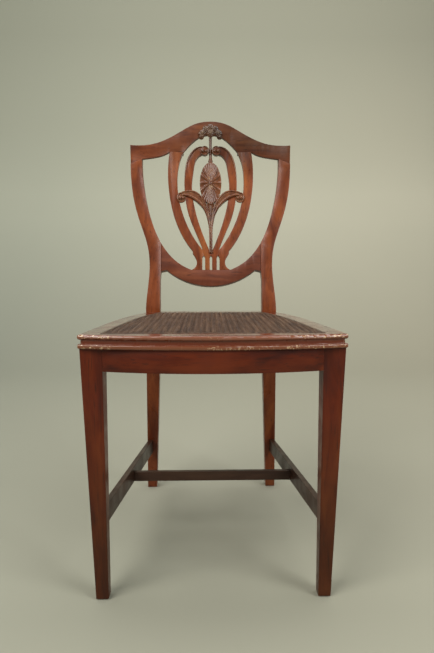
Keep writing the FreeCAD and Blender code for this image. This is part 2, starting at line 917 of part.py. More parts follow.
# Medallion: a fluted oval with its stem and cap above
def oval_wire(half_width, half_height, n):
    ellipse = Part.Ellipse(
        point(0, n, medallion_center_s + half_height),
        point(half_width, n, medallion_center_s),
        point(0, n, medallion_center_s),
    )
    return Part.Wire(ellipse.toShape())


def medallion_oval(grow, front, back):
    low = hollow(0) + front
    wire = oval_wire(medallion_half_width + grow, medallion_half_height + grow, low)
    return prism(wire, point(0, back - front, 0))


def medallion():
    body = medallion_oval(0.0, -1.0, medallion_depth - 1.0)
    face_n = hollow(0) - 1.0
    rim = oval_wire(medallion_half_width, medallion_half_height, face_n)
    crown_n = face_n - medallion_rise
    crown = oval_wire(medallion_half_width * 0.3, medallion_half_height * 0.3, crown_n)
    dome = Part.makeLoft([rim, crown], True, True)
    body = joined([body, dome])
    cuts = []
    for index in range(flute_count):
        angle = 2 * math.pi * (index + 0.5) / flute_count
        way_x = medallion_half_width * math.cos(angle)
        way_s = medallion_half_height * math.sin(angle)
        inner_n = crown_n - flute_depth * 0.4
        start = point(way_x * 0.3, inner_n, medallion_center_s + way_s * 0.3)
        end = point(way_x * 1.1, face_n - 0.2, medallion_center_s + way_s * 1.1)
        way = end - start
        cuts.append(Part.makeCone(flute_depth * 0.6, flute_depth * 1.5, way.Length, start, way))
    body = one_solid(body.cut(cuts))
    socket = stem_dowel(medallion_center_s + medallion_half_height - back_tenon_depth / 2, glue_gap)
    return one_solid(body.cut(socket))


def stem_dowel(low, gap):
    radius = stem_half_width - 1.5 + gap
    base = point(0, hollow(0) + rib_depth / 2, low - gap)
    return Part.makeCylinder(radius, back_tenon_depth + 2 * gap, base, point(0, 0, 1))


def upper_stem():
    low = medallion_center_s + medallion_half_height
    half = stem_half_width - 0.4
    cap_low = low - 3.0
    cap_top = low + cap_height
    stem_top = arch_top_s - curve_gap
    cap = [
        (cap_half_width, cap_low),
        (cap_half_width + 0.8, cap_low + 4.0),
        (cap_half_width - 0.8, cap_low + 8.0),
        (half, cap_top),
    ]
    outline = [
        cap,
        flipped(cap),
        [(-cap_half_width, cap_low), (cap_half_width, cap_low)],
        [(half, cap_top), (half, stem_top)],
        [(half, stem_top), (-half, stem_top)],
        [(-half, stem_top), (-half, cap_top)],
    ]
    body = sawn([run(points) for points in outline], 0.0, rib_depth - 3.0)
    body = body.cut(medallion_oval(glue_gap, -cut_reach / 2, cut_reach / 2))
    low_peg = stem_dowel(low - back_tenon_depth / 2 + mortise_end_gap, 0.0)
    low_peg = low_peg.common(box((-10, 10), (-cut_reach, cut_reach), (low - 20, low + 4)))
    high_peg = stem_dowel(arch_top_s - 2.0, 0.0)
    return joined([one_solid(body), low_peg, high_peg])


def crest_carving():
    lobes = [
        (0.0, arch_top_s + 17.5, 9.5),
        (0.0, arch_top_s + 3.0, 9.5),
        (11.0, arch_top_s + 12.5, 9.0),
        (19.0, arch_top_s + 3.0, 9.0),
        (21.5, arch_top_s - 6.0, 6.5),
    ]
    pieces = []
    for x, s, radius in lobes:
        for side in {x, -x}:
            pieces.append(button((side, s), radius, -carving_rise, -curve_gap))
    return joined(pieces)


# Seat rails
def front_rail_tenon():
    x_range = (front_leg_inner_x, front_leg_inner_x + tenon_depth)
    y_low = (rail_thickness - tenon_thickness) / 2
    z_range = (rail_bottom + tenon_shoulder, leg_top - tenon_shoulder)
    return [x_range, (y_low, y_low + tenon_thickness), z_range]


def side_rail_line(y):
    return side_half_width(y) - frame_side_overhang - rail_side_reveal


def side_rail_front_tenon():
    middle = side_rail_line(front_leg_depth_top) - rail_thickness / 2
    x_range = (middle - tenon_thickness / 2, middle + tenon_thickness / 2)
    z_range = (rail_bottom + tenon_shoulder, leg_top - tenon_shoulder)
    return [x_range, (front_leg_depth_top - tenon_depth, front_leg_depth_top + 2.0), z_range]


def side_rail_rear_tenon():
    middle = side_rail_line(post_face_y) - rail_thickness / 2
    x_range = (middle - tenon_thickness / 2, middle + tenon_thickness / 2)
    z_range = (rail_bottom + tenon_shoulder, leg_top - tenon_shoulder)
    return [x_range, (post_face_y - 2.0, post_face_y + tenon_depth), z_range]


def rear_rail_tenon():
    middle = post_face_y + rear_rail_setback + rail_thickness / 2
    y_range = (middle - tenon_thickness / 2, middle + tenon_thickness / 2)
    z_range = (rail_bottom + tenon_shoulder, leg_top - tenon_shoulder)
    return [(post_inner_x, post_inner_x + rear_rail_tenon_depth), y_range, z_range]


def front_rail_body(extra):
    half = front_leg_inner_x
    z = rail_bottom
    front = bow_arc(half, 0.0, z)
    back = bow_arc(half, rail_thickness + extra, z)
    edges = [front, back]
    for side in (-half, half):
        low = point(side, 0.0, z)
        edges.append(Part.makeLine(low, point(side, rail_thickness + extra, z)))
    return prism(Part.Wire(Part.__sortEdges__(edges)), point(0, 0, rail_height))


def side_rail_body(extra):
    z = rail_bottom
    inset = frame_side_overhang + rail_side_reveal
    outer = side_curve(inset, front_leg_depth_top, post_face_y, z)
    inner = side_curve(inset + rail_thickness + extra, front_leg_depth_top, post_face_y, z)
    edges = [outer, inner]
    for y in (front_leg_depth_top, post_face_y):
        edge_x = side_rail_line(y)
        start = point(edge_x, y, z)
        edges.append(Part.makeLine(start, point(edge_x - rail_thickness - extra, y, z)))
    return prism(Part.Wire(Part.__sortEdges__(edges)), point(0, 0, rail_height))


def rear_rail_body(extra):
    front = post_face_y + rear_rail_setback
    y_range = (front - extra, front + rail_thickness)
    return box((-post_inner_x, post_inner_x), y_range, (rail_bottom, leg_top))


# Stretchers
def stretcher_height_at(y):
    front_y = front_leg_depth_foot
    rear_y = post_face_y + rear_foot_setback
    share = (y - front_y) / (rear_y - front_y)
    return side_stretcher_top_front + (side_stretcher_top_rear - side_stretcher_top_front) * share


def stretcher_x_at(y):
    front_y = front_leg_depth_foot
    rear_y = post_face_y + rear_foot_setback
    share = (y - front_y) / (rear_y - front_y)
    return side_stretcher_front_x + (side_stretcher_rear_x - side_stretcher_front_x) * share


def stretcher_bar(width, height, y_from, y_to):
    sections = []
    for y in (y_from, y_to):
        x = stretcher_x_at(y)
        z = stretcher_height_at(y) - stretcher_height / 2
        corners = [(-1, -1), (1, -1), (1, 1), (-1, 1)]
        points = [point(x + a * width / 2, y, z + b * height / 2) for a, b in corners]
        sections.append(polygon_wire(points))
    return Part.makeLoft(sections, True, True)


def stretcher_tongue(gap):
    middle_z = stretcher_height_at(0.0) - stretcher_height / 2
    front_y = leg_back_at(middle_z) - tenon_depth + 2.0
    rear_z = stretcher_height_at(post_face_y) - stretcher_height / 2
    rear_y = post_face_at(rear_z) + tenon_depth - 2.0
    height = stretcher_height - 2 * tenon_shoulder + 2 * gap
    width = stretcher_tenon_thickness + 2 * gap
    return stretcher_bar(width, height, front_y - gap, rear_y + gap)


def leg_back_at(z):
    return front_leg_depth_foot + (front_leg_depth_top - front_leg_depth_foot) * z / leg_top


def post_face_at(z):
    return post_face_y + leg_face(rail_bottom - z, rear_foot_setback, rear_leg_bend)


def side_stretcher(front_leg, rear_post):
    middle_z = stretcher_height_at(0.0) - stretcher_height / 2
    front_y = leg_back_at(middle_z) - front_leg_depth_foot / 2
    rear_z = stretcher_height_at(post_face_y) - stretcher_height / 2
    rear_y = post_face_at(rear_z) + rear_foot_depth / 2
    bar = stretcher_bar(stretcher_width, stretcher_height, front_y, rear_y)
    bar = one_solid(bar.cut([front_leg, rear_post]))
    bar = joined([bar, stretcher_tongue(0.0)])
    return one_solid(bar.cut(mortise(medial_tenon())))


def medial_inner_x():
    return stretcher_x_at(medial_y + medial_depth / 2) - stretcher_width / 2


def medial_tenon():
    x_low = medial_inner_x()
    middle = medial_y + medial_depth / 2
    half = stretcher_tenon_thickness / 2
    z_low = medial_bottom + medial_tenon_shoulder
    z_high = medial_bottom + medial_height - medial_tenon_shoulder
    x_range = (x_low - tenon_shoulder, x_low + medial_tenon_depth)
    return [x_range, (middle - half, middle + half), (z_low, z_high)]


def medial_stretcher():
    half = medial_inner_x() + stretcher_width / 2
    y_range = (medial_y, medial_y + medial_depth)
    bar = box((-half, half), y_range, (medial_bottom, medial_bottom + medial_height))
    tongues = tenon(medial_tenon())
    full_sides = [stretcher_bar(stretcher_width, stretcher_height, 0.0, post_face_y)]
    full_sides.append(mirrored(full_sides[0]))
    bar = one_solid(bar.cut(full_sides))
    return joined([bar, tongues, mirrored(tongues)])


# Corner blocks and screws
def front_block_solid(leg):
    center_y = rail_thickness / 2
    start_x = front_leg_inner_x - block_reach
    end_y = front_leg_depth_top + block_reach
    outline = [
        point(start_x, center_y - front_bow, rail_bottom + block_drop),
        point(front_leg_inner_x + 10.0, center_y, rail_bottom + block_drop),
        point(side_rail_line(end_y) - rail_thickness / 2, end_y, rail_bottom + block_drop),
    ]
    block = prism(polygon_wire(outline), point(0, 0, rail_height - block_drop))
    trims = [front_rail_body(curve_gap), side_rail_body(curve_gap), leg]
    front_waste = box((0, front_leg_spread_top), (-cut_reach, 0), (rail_bottom, leg_top))
    return one_solid(block.cut(trims + [front_waste]))


def rear_block_solid(post):
    rear_y = post_face_y + rear_rail_setback + rail_thickness / 2
    end_y = post_face_y - block_reach
    outline = [
        point(post_inner_x - block_reach, rear_y, rail_bottom + block_drop),
        point(post_inner_x + 12.0, rear_y, rail_bottom + block_drop),
        point(side_rail_line(end_y) - rail_thickness / 2, end_y, rail_bottom + block_drop),
    ]
    block = prism(polygon_wire(outline), point(0, 0, rail_height - block_drop))
    return one_solid(block.cut([rear_rail_body(0.0), side_rail_body(curve_gap), post]))


def screw(start, way, length):
    direction = way.normalize()
    head = Part.makeCone(screw_head_radius, screw_shank_radius, screw_head_height, start, direction)
    shank = Part.makeCylinder(screw_shank_radius, length, start, direction)
    return joined([head, shank])


def screw_hole(start, way, length):
    direction = way.normalize()
    head_radius = screw_head_radius + screw_hole_gap
    shank_radius = screw_shank_radius + screw_hole_gap
    sink = Part.makeCylinder(head_radius, cut_reach, start - direction * cut_reach, direction)
    head = Part.makeCone(head_radius, shank_radius, screw_head_height, start, direction)
    shank = Part.makeCylinder(shank_radius, length + mortise_end_gap, start, direction)
    return sink.fuse([head, shank])


def corner_screws(block, toward_y, frame_screw_shift):
    middle = block.CenterOfMass
    level = rail_bottom + block_drop + (rail_height - block_drop) / 2
    away = block_screw_spread
    near = block_screw_spread / 3
    lengthwise = point(middle.x - away, middle.y - toward_y * near, level)
    crosswise = point(middle.x - near, middle.y - toward_y * away, level)
    upward = point(middle.x + frame_screw_shift, middle.y, rail_bottom + frame_screw_sink)
    rail_screws = [
        (lengthwise, point(0, toward_y, 0), block_screw_length),
        (crosswise, point(1, 0, 0), block_screw_length),
    ]
    return rail_screws, (upward, point(0, 0, 1), frame_screw_length)


def build():
    leg = front_leg_solid()
    leg_whole = leg.copy()
    post = joined([rear_leg_solid(), stile_solid()])
    post_whole = post.copy()
    tongue_room = stretcher_tongue(glue_gap)
    leg = one_solid(leg.cut([
        mortise(front_rail_tenon()),
        mortise(side_rail_front_tenon()),
        tongue_room,
    ]))
    post = one_solid(post.cut([
        mortise(side_rail_rear_tenon()),
        mortise(rear_rail_tenon()),
        tongue_room,
        lean(mortise(lower_rail_tenon())),
    ]))
    post = joined([post, lean(tenon(crest_tenon()))])

    front_tongue = tenon(front_rail_tenon())
    front_rail = joined([front_rail_body(0.0), front_tongue, mirrored(front_tongue)])
    side_rail = joined([
        side_rail_body(0.0),
        tenon(side_rail_front_tenon()),
        tenon(side_rail_rear_tenon()),
    ])
    rear_tongue = tenon(rear_rail_tenon())
    rear_rail = joined([rear_rail_body(0.0), rear_tongue, mirrored(rear_tongue)])

    members, frame_dowels = seat_frame()
    front_block = front_block_solid(leg_whole)
    rear_block = rear_block_solid(post_whole)
    block_screws = []
    frame_screws = []
    holes = []
    frame_holes = []
    for block, toward_y, shift in (
        (front_block, -1.0, front_frame_screw_shift),
        (rear_block, 1.0, rear_frame_screw_shift),
    ):
        rail_places, frame_place = corner_screws(block, toward_y, shift)
        for place in rail_places:
            block_screws.append(screw(*place))
            holes.append(screw_hole(*place))
        frame_screws.append(screw(*frame_place))
        frame_holes.append(screw_hole(*frame_place))
    both = holes + frame_holes
    front_block = one_solid(front_block.cut(both))
    rear_block = one_solid(rear_block.cut(both))
    side_rail = one_solid(side_rail.cut(holes))
    mirrored_holes = [mirrored(hole) for hole in holes]
    front_rail = one_solid(front_rail.cut(holes + mirrored_holes))
    rear_rail = one_solid(rear_rail.cut(holes + mirrored_holes))
    all_frame_holes = frame_holes + [mirrored(hole) for hole in frame_holes]
    members = [one_solid(member.cut(all_frame_holes)) for member in members]
    block_screws += [mirrored(item) for item in block_screws]
    frame_screws += [mirrored(item) for item in frame_screws]

    stretcher = side_stretcher(leg_whole, post_whole)
    pieces = {
        "front_leg_right": leg,
        "front_leg_left": mirrored(leg),
        "rear_post_right": post,
        "rear_post_left": mirrored(post),
        "front_seat_rail": front_rail,
        "side_seat_rail_right": side_rail,
        "side_seat_rail_left": mirrored(side_rail),
        "rear_seat_rail": rear_rail,
        "seat_frame_front": members[0],
        "seat_frame_left": members[1],
        "seat_frame_right": members[2],
        "seat_frame_rear": members[3],
        "seat_frame_dowels": frame_dowels,
        "cane_panel": cane_panel(),
        "reed_spline": reed_spline(),
        "corner_block_front_right": front_block,
        "corner_block_front_left": mirrored(front_block),
        "corner_block_rear_right": rear_block,
        "corner_block_rear_left": mirrored(rear_block),
        "corner_block_screws": Part.makeCompound(block_screws),
        "seat_frame_screws": Part.makeCompound(frame_screws),
        "side_stretcher_right": stretcher,
        "side_stretcher_left": mirrored(stretcher),
        "medial_stretcher": medial_stretcher(),
        "crest_rail": lean(crest_rail()),
        "shield_lower_rail": lean(shield_lower_rail()),
        "crest_carving": lean(crest_carving()),
        "upper_stem": lean(upper_stem()),
        "medallion": lean(medallion()),
        "leaf_spray": lean(leaf_spray()),
    }
    for name, shape in (("outer_rib", outer_rib()), ("inner_rib", inner_rib())):
        pieces[name + "_right"] = lean(shape)
        pieces[name + "_left"] = lean(mirrored(shape))
    return pieces


def write(pieces):
    os.makedirs("parts", exist_ok=True)
    limits = Part.makeCompound(list(pieces.values())).optimalBoundingBox(False, False)
    middle = point(-(limits.XMin + limits.XMax) / 2, -(limits.YMin + limits.YMax) / 2, -limits.ZMin)
    for name, shape in pieces.items():
        placed = shape.copy()
        placed.translate(middle)
        placed.exportStep("parts/" + name + ".step")
        print(name, len(placed.Solids), placed.isValid(), round(placed.Volume))
    print("size", round(limits.XLength, 1), round(limits.YLength, 1), round(limits.ZLength, 1))


write(build())
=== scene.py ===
import math

import bmesh
import bpy
from mathutils import Matrix, Vector


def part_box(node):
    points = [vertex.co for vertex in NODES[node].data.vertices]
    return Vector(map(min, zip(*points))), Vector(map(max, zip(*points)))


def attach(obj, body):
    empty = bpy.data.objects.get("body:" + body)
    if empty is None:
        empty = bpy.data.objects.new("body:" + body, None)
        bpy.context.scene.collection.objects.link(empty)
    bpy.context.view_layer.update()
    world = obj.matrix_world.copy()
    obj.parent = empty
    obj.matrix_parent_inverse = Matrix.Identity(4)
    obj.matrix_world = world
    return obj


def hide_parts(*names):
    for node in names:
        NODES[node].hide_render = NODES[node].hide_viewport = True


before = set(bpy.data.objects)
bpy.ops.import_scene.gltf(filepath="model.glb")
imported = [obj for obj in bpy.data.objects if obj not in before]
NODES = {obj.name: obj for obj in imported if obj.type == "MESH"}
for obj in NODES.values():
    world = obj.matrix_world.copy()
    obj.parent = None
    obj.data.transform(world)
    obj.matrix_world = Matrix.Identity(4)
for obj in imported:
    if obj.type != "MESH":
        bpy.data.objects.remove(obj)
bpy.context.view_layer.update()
ROOT = "root"
MM = 0.001

# Driving sizes of the chair, in metres, as in the CAD source
SEAT_TOP = 0.458
RAKE = math.radians(12.0)
HOLLOW_RADIUS = 0.9
POST_MIDDLE_X = 0.1346
POST_FACE_BACK = 0.376
SHIELD_START_DROP = 0.024
FRONT_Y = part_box("front_leg_right")[0].y
POST_FACE_Y = FRONT_Y + POST_FACE_BACK
SHIELD_Y = POST_FACE_Y - math.tan(RAKE) * SHIELD_START_DROP

# Seat frame's mouldings and outline
TOP_BEAD_HEIGHT = 0.0085
COVE_HEIGHT = 0.007
COVE_TOP = SEAT_TOP - TOP_BEAD_HEIGHT
COVE_BOTTOM = COVE_TOP - COVE_HEIGHT
FRAME_FRONT_OVERHANG = 0.004
FRAME_FRONT_HALF = 0.2185
FRAME_REAR_HALF = 0.1492
SIDE_STRAIGHT_SHARE = 0.55
SIDE_CURVE_POWER = 4.5
CANE_BORDER_SIDE = 0.0391
CANE_BORDER_FRONT = 0.0126
CANE_BORDER_BACK = 0.0166

# Shield pieces, x across and s up the leaning back
STEM_FOOT_S = 0.141
MEDALLION_S = 0.3105
MEDALLION_HALF_WIDTH = 0.0256
MEDALLION_HALF_HEIGHT = 0.0505
MEDALLION_BACK = 0.011
RIB_VOLUTE = (0.0143, 0.3903)
LEAF_VOLUTE = (0.0690, 0.2745)
CARVING_S = 0.430
RIB_DEPTH = 0.012

# Cane: a strand's size, the weave's pitch and how strands rise over each other
CANE_PITCH = 0.0104
CANE_HALF_WIDTH = 0.0011
CANE_CROWN_SHARE = 0.55
CANE_PAIR_OFFSET = 0.0014
CANE_THICKNESS = 0.0005
CANE_STEPS_PER_PITCH = 4
CANE_SPREAD = 0.19
CANE_REACH = 0.3
CANE_REACH_STEPS = 600
CANE_END_FALL = 0.004
CANE_END_SINK = 0.0009
CANE_CROSSING_WIDTH = 0.0016
LENGTHWISE_UNDER = 0.00015
LENGTHWISE_OVER = 0.00105
LENGTHWISE_DIP = 0.00075
CROSS_LOW = 0.00055
CROSS_WOVEN = 0.00030
CROSS_RISE = 0.00105
FIRST_DIAGONAL = 0.00055
SECOND_DIAGONAL = 0.00040
DIAGONAL_WAVE = 0.00095

# Mesh steps of carved pieces
PATH_STEPS = 8
REED_SECTION_STEPS = 8
VOLUTE_STEPS = 14
MEDALLION_RINGS = 44
SAMPLES_PER_RIDGE = 16

# The photo's height in pixels and the camera fitted to it
PHOTO_HEIGHT = 653
SENSOR = 36.0
FOCAL_PIXELS = 525.4
CAMERA_PLACE = Vector((-0.0111, FRONT_Y - 0.8379, 0.5718))
CAMERA_PITCH = 0.1208
CAMERA_YAW = 0.0202
CAMERA_ROLL = -0.0013
CLIP_END = 100.0


# Places on the leaning, hollow back
def hollow(x):
    rim = math.sqrt(HOLLOW_RADIUS ** 2 - POST_MIDDLE_X ** 2)
    return math.sqrt(HOLLOW_RADIUS ** 2 - x ** 2) - rim


def on_back(x, n, s):
    deep = hollow(x) + n
    y = SHIELD_Y + deep * math.cos(RAKE) + s * math.sin(RAKE)
    z = SEAT_TOP - deep * math.sin(RAKE) + s * math.cos(RAKE)
    return Vector((x, y, z))


def side_half_width(y):
    front = FRONT_Y - FRAME_FRONT_OVERHANG
    share = max(0.0, (y - front) / (POST_FACE_Y - front))
    bend = share ** SIDE_CURVE_POWER
    curve = SIDE_STRAIGHT_SHARE * share + (1.0 - SIDE_STRAIGHT_SHARE) * bend
    return FRAME_FRONT_HALF - (FRAME_FRONT_HALF - FRAME_REAR_HALF) * curve


# Mesh building
class Clay:
    """Vertices and faces of one piece, gathered before its mesh is made."""

    def __init__(self):
        self.points = []
        self.faces = []

    def ring(self, points):
        first = len(self.points)
        self.points += points
        return list(range(first, first + len(points)))

    def bridge(self, low, high, closed=True):
        count = len(low)
        last = count if closed else count - 1
        for i in range(last):
            j = (i + 1) % count
            self.faces.append((low[i], low[j], high[j], high[i]))

    def cap(self, ring, flip=False):
        self.faces.append(tuple(reversed(ring)) if flip else tuple(ring))

    def fan(self, ring, tip, flip=False):
        middle = self.ring([tip])[0]
        count = len(ring)
        for i in range(count):
            pair = (ring[i], ring[(i + 1) % count])
            if flip:
                pair = pair[::-1]
            self.faces.append((pair[0], pair[1], middle))


def make_piece(name, clay, material):
    mesh = bpy.data.meshes.new(name)
    mesh.from_pydata([tuple(p) for p in clay.points], [], clay.faces)
    mesh.validate()
    mesh.polygons.foreach_set("use_smooth", [True] * len(mesh.polygons))
    piece = bpy.data.objects.new(name, mesh)
    bpy.context.scene.collection.objects.link(piece)
    mesh.materials.append(material)
    make_normals_face_out(mesh)
    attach(piece, ROOT)
    return piece


def make_normals_face_out(mesh):
    work = bmesh.new()
    work.from_mesh(mesh)
    bmesh.ops.recalc_face_normals(work, faces=work.faces)
    work.to_mesh(mesh)
    work.free()


def smooth_path(points, steps):
    """Catmull-Rom points through the given tuples, steps to each stretch."""
    path = []
    count = len(points)
    for i in range(count - 1):
        a = points[max(i - 1, 0)]
        b = points[i]
        c = points[i + 1]
        d = points[min(i + 2, count - 1)]
        for k in range(steps):
            t = k / steps
            path.append(tuple(catmull(a[j], b[j], c[j], d[j], t) for j in range(len(b))))
    path.append(tuple(points[-1]))
    return path


def catmull(a, b, c, d, t):
    linear = (c - a) * t
    square = (2 * a - 5 * b + 4 * c - d) * t ** 2
    cube = (3 * b - a - 3 * c + d) * t ** 3
    return b + (linear + square + cube) / 2


# Carving: reeds, domes, turned lengths and volutes on the back
def add_reed(clay, route, back, side=1, rise_share=1.0, base=0.0, steps=PATH_STEPS):
    """A half-round reed along (x, s, half width) points, flat behind."""
    path = smooth_path(route, steps)
    rings = []
    for i, (x, s, half) in enumerate(path):
        before = path[max(i - 1, 0)]
        after = path[min(i + 1, len(path) - 1)]
        along = Vector((after[0] - before[0], after[1] - before[1])).normalized()
        across = Vector((along.y, -along.x))
        section = []
        for k in range(REED_SECTION_STEPS + 1):
            angle = math.pi * k / REED_SECTION_STEPS
            out = half * math.cos(angle)
            n = base - half * rise_share * math.sin(angle)
            section.append(on_back(side * (x + across.x * out), n, s + across.y * out))
        for out in (-half, half):
            section.append(on_back(side * (x + across.x * out), back, s + across.y * out))
        rings.append(clay.ring(section))
    for low, high in zip(rings, rings[1:]):
        clay.bridge(low, high)
    clay.cap(rings[0])
    clay.cap(rings[-1], flip=True)


def add_dome(clay, center, radii, rise, back, base=0.0, shape=None, rings=10, around=32):
    """A raised oval on the back. shape(u, angle) scales the rise at share u of the radius."""
    middle_x, middle_s = center
    grid = []
    for r in range(rings, 0, -1):
        u = r / rings
        ring = []
        for a in range(around):
            angle = 2 * math.pi * a / around
            lift = math.sqrt(max(0.0, 1 - u * u)) if shape is None else shape(u, angle)
            x = middle_x + radii[0] * u * math.cos(angle)
            s = middle_s + radii[1] * u * math.sin(angle)
            ring.append(on_back(x, base - rise * lift, s))
        grid.append(clay.ring(ring))
    for low, high in zip(grid, grid[1:]):
        clay.bridge(low, high)
    top = 1.0 if shape is None else shape(0.0, 0.0)
    clay.fan(grid[-1], on_back(middle_x, base - rise * top, middle_s))
    rim = [
        on_back(
            middle_x + radii[0] * math.cos(2 * math.pi * a / around),
            back,
            middle_s + radii[1] * math.sin(2 * math.pi * a / around),
        )
        for a in range(around)
    ]
    back_ring = clay.ring(rim)
    clay.bridge(back_ring, grid[0])
    clay.fan(back_ring, on_back(middle_x, back, middle_s), flip=True)


def add_turning(clay, profile, center_n, depth_share, around=16, steps=5):
    """A turned length of stem. profile holds (s, radius) points going up."""
    rings = []
    for s, radius in smooth_path(profile, steps):
        ring = []
        for a in range(around):
            angle = 2 * math.pi * a / around
            x = radius * math.cos(angle)
            ring.append(on_back(x, center_n + depth_share * radius * math.sin(angle), s))
        rings.append(clay.ring(ring))
    for low, high in zip(rings, rings[1:]):
        clay.bridge(low, high)
    clay.cap(rings[0], flip=True)
    clay.cap(rings[-1])


VOLUTE_REED_HALF = 0.0017
VOLUTE_FLOOR_SHARE = 1.02
VOLUTE_FLOOR_RISE = 0.0014
VOLUTE_EYES = ((1, 1.0), (-1, 0.88))
EYE_OUT_SHARE = 0.44
EYE_DROP_SHARE = 0.12
EYE_TALL_SHARE = 1.08
EYE_RISE_SHARE = 1.15


def add_volute(clay, center, radii, side, back, arc, ball):
    """Two small balls inside a reed that curls round them over the given arc of angles."""
    middle_x, middle_s = center
    start, end = arc
    route = []
    for i in range(VOLUTE_STEPS + 1):
        share = i / VOLUTE_STEPS
        angle = start + (end - start) * share
        swell = 0.75 + 0.35 * math.sin(math.pi * share)
        place = (middle_x + radii[0] * math.cos(angle), middle_s + radii[1] * math.sin(angle))
        route.append((*place, VOLUTE_REED_HALF * swell))
    add_reed(clay, route, back, side, rise_share=1.3, base=-1.2 * MM, steps=3)
    floor = (radii[0] * VOLUTE_FLOOR_SHARE, radii[1] * VOLUTE_FLOOR_SHARE)
    middle = (side * middle_x, middle_s)
    add_dome(clay, middle, floor, VOLUTE_FLOOR_RISE, back, rings=4, around=28)
    for way, share in VOLUTE_EYES:
        out = way * radii[0] * EYE_OUT_SHARE
        eye = (side * (middle_x + out), middle_s - radii[1] * EYE_DROP_SHARE)
        size = ball * share
        sizes = (size, size * EYE_TALL_SHARE)
        add_dome(clay, eye, sizes, size * EYE_RISE_SHARE, back, -1.3 * MM, rings=8, around=18)


# Materials. Colours are linear RGB and noise scales are in cycles to a metre.
BEVEL_SAMPLES = 6
FLAT_LEAN = 0.995
EDGE_LEAN = 0.80
ALONG_GRAIN = 0.14
ALONG_PORES = 0.35 * ALONG_GRAIN
GRAIN_SCALE = 38.0
RIBBON_SCALE = 9.0
PATCH_SCALE = 9.0
PORE_SCALE = 420.0
RUB_SCALE = 120.0
SMEAR_SCALE = 26.0
CHIP_SCALE = 210.0
CHIP_CLUSTER_SCALE = 17.0
WORN_EDGE = 0.0016
SOFT_EDGE = 0.0009
PORE = (0.02, 0.008, 0.005)

# Seat frame: pale chipped beads and the deep red cove, each with its strength
UPPER_BEAD = (0.225, 0.082, 0.040)
UPPER_BEAD_SHARE = 0.8
LOWER_BEAD = (0.200, 0.068, 0.028)
LOWER_BEAD_SHARE = 0.7
COVE_RED = (0.150, 0.027, 0.007)
COVE_RED_SHARE = 0.75
BARE_CHIP = (0.66, 0.47, 0.27)

# Painted shade on top of the back, more to the right, and darker colour towards the feet
PAINTED_SHADE_HEIGHTS = (0.765, 0.85)
PAINTED_SHADE_SIDES = (-0.14, 0.10)
PAINTED_SHADE_LEFT_SHARE = 0.35
SHADED_TOP = (0.33, 0.47, 0.60)
FRONT_FOOT = ((0.34, 0.10), (0.60, 0.92, 0.72))
REAR_FOOT = ((0.43, 0.24), (0.68, 0.60, 0.60))


def new_material(name):
    material = bpy.data.materials.new(name)
    material.use_nodes = True
    tree = material.node_tree
    tree.nodes.clear()
    output = tree.nodes.new("ShaderNodeOutputMaterial")
    shader = tree.nodes.new("ShaderNodeBsdfPrincipled")
    tree.links.new(shader.outputs["BSDF"], output.inputs["Surface"])
    return material, tree, shader


def place_coordinates(tree, stretch, turn=(0.0, 0.0, 0.0)):
    where = tree.nodes.new("ShaderNodeTexCoord")
    mapping = tree.nodes.new("ShaderNodeMapping")
    mapping.inputs["Scale"].default_value = stretch
    mapping.inputs["Rotation"].default_value = turn
    tree.links.new(where.outputs["Object"], mapping.inputs["Vector"])
    return mapping.outputs["Vector"]


def noise_value(tree, vector, scale, detail=4.0, distortion=0.0, roughness=0.55):
    node = tree.nodes.new("ShaderNodeTexNoise")
    node.inputs["Scale"].default_value = scale
    node.inputs["Detail"].default_value = detail
    node.inputs["Distortion"].default_value = distortion
    node.inputs["Roughness"].default_value = roughness
    tree.links.new(vector, node.inputs["Vector"])
    return node.outputs["Fac"]


def ramp(tree, value, stops):
    node = tree.nodes.new("ShaderNodeValToRGB")
    elements = node.color_ramp.elements
    while len(elements) < len(stops):
        elements.new(0.5)
    for element, (place, colour) in zip(elements, stops):
        element.position = place
        element.color = (*colour, 1.0)
    tree.links.new(value, node.inputs["Fac"])
    return node.outputs["Color"]


def level(tree, value, low, high, to_low=0.0, to_high=1.0):
    node = tree.nodes.new("ShaderNodeMapRange")
    node.inputs["From Min"].default_value = low
    node.inputs["From Max"].default_value = high
    node.inputs["To Min"].default_value = to_low
    node.inputs["To Max"].default_value = to_high
    tree.links.new(value, node.inputs["Value"])
    return node.outputs["Result"]


def math_node(tree, operation, a, b):
    node = tree.nodes.new("ShaderNodeMath")
    node.operation = operation
    for socket, value in zip(node.inputs, (a, b)):
        if isinstance(value, (int, float)):
            socket.default_value = value
        else:
            tree.links.new(value, socket)
    return node.outputs["Value"]


def mix_colour(tree, share, a, b, blend="MIX"):
    node = tree.nodes.new("ShaderNodeMix")
    node.data_type = "RGBA"
    node.blend_type = blend
    colour_inputs = (node.inputs[6], node.inputs[7])
    for socket, value in zip((node.inputs[0], *colour_inputs), (share, a, b)):
        if isinstance(value, (int, float)):
            socket.default_value = value
        elif isinstance(value, tuple):
            socket.default_value = (*value, 1.0)
        else:
            tree.links.new(value, socket)
    return node.outputs[2]


def rounded_normal(tree, radius):
    bevel = tree.nodes.new("ShaderNodeBevel")
    bevel.samples = BEVEL_SAMPLES
    bevel.inputs["Radius"].default_value = radius
    return bevel.outputs["Normal"]


def edge_mask(tree, radius):
    """1 on edges and 0 on flats, from how far a rounded normal leans off the true one."""
    surface = tree.nodes.new("ShaderNodeNewGeometry")
    dot = tree.nodes.new("ShaderNodeVectorMath")
    dot.operation = "DOT_PRODUCT"
    tree.links.new(rounded_normal(tree, radius), dot.inputs[0])
    tree.links.new(surface.outputs["Normal"], dot.inputs[1])
    return level(tree, dot.outputs["Value"], FLAT_LEAN, EDGE_LEAN)


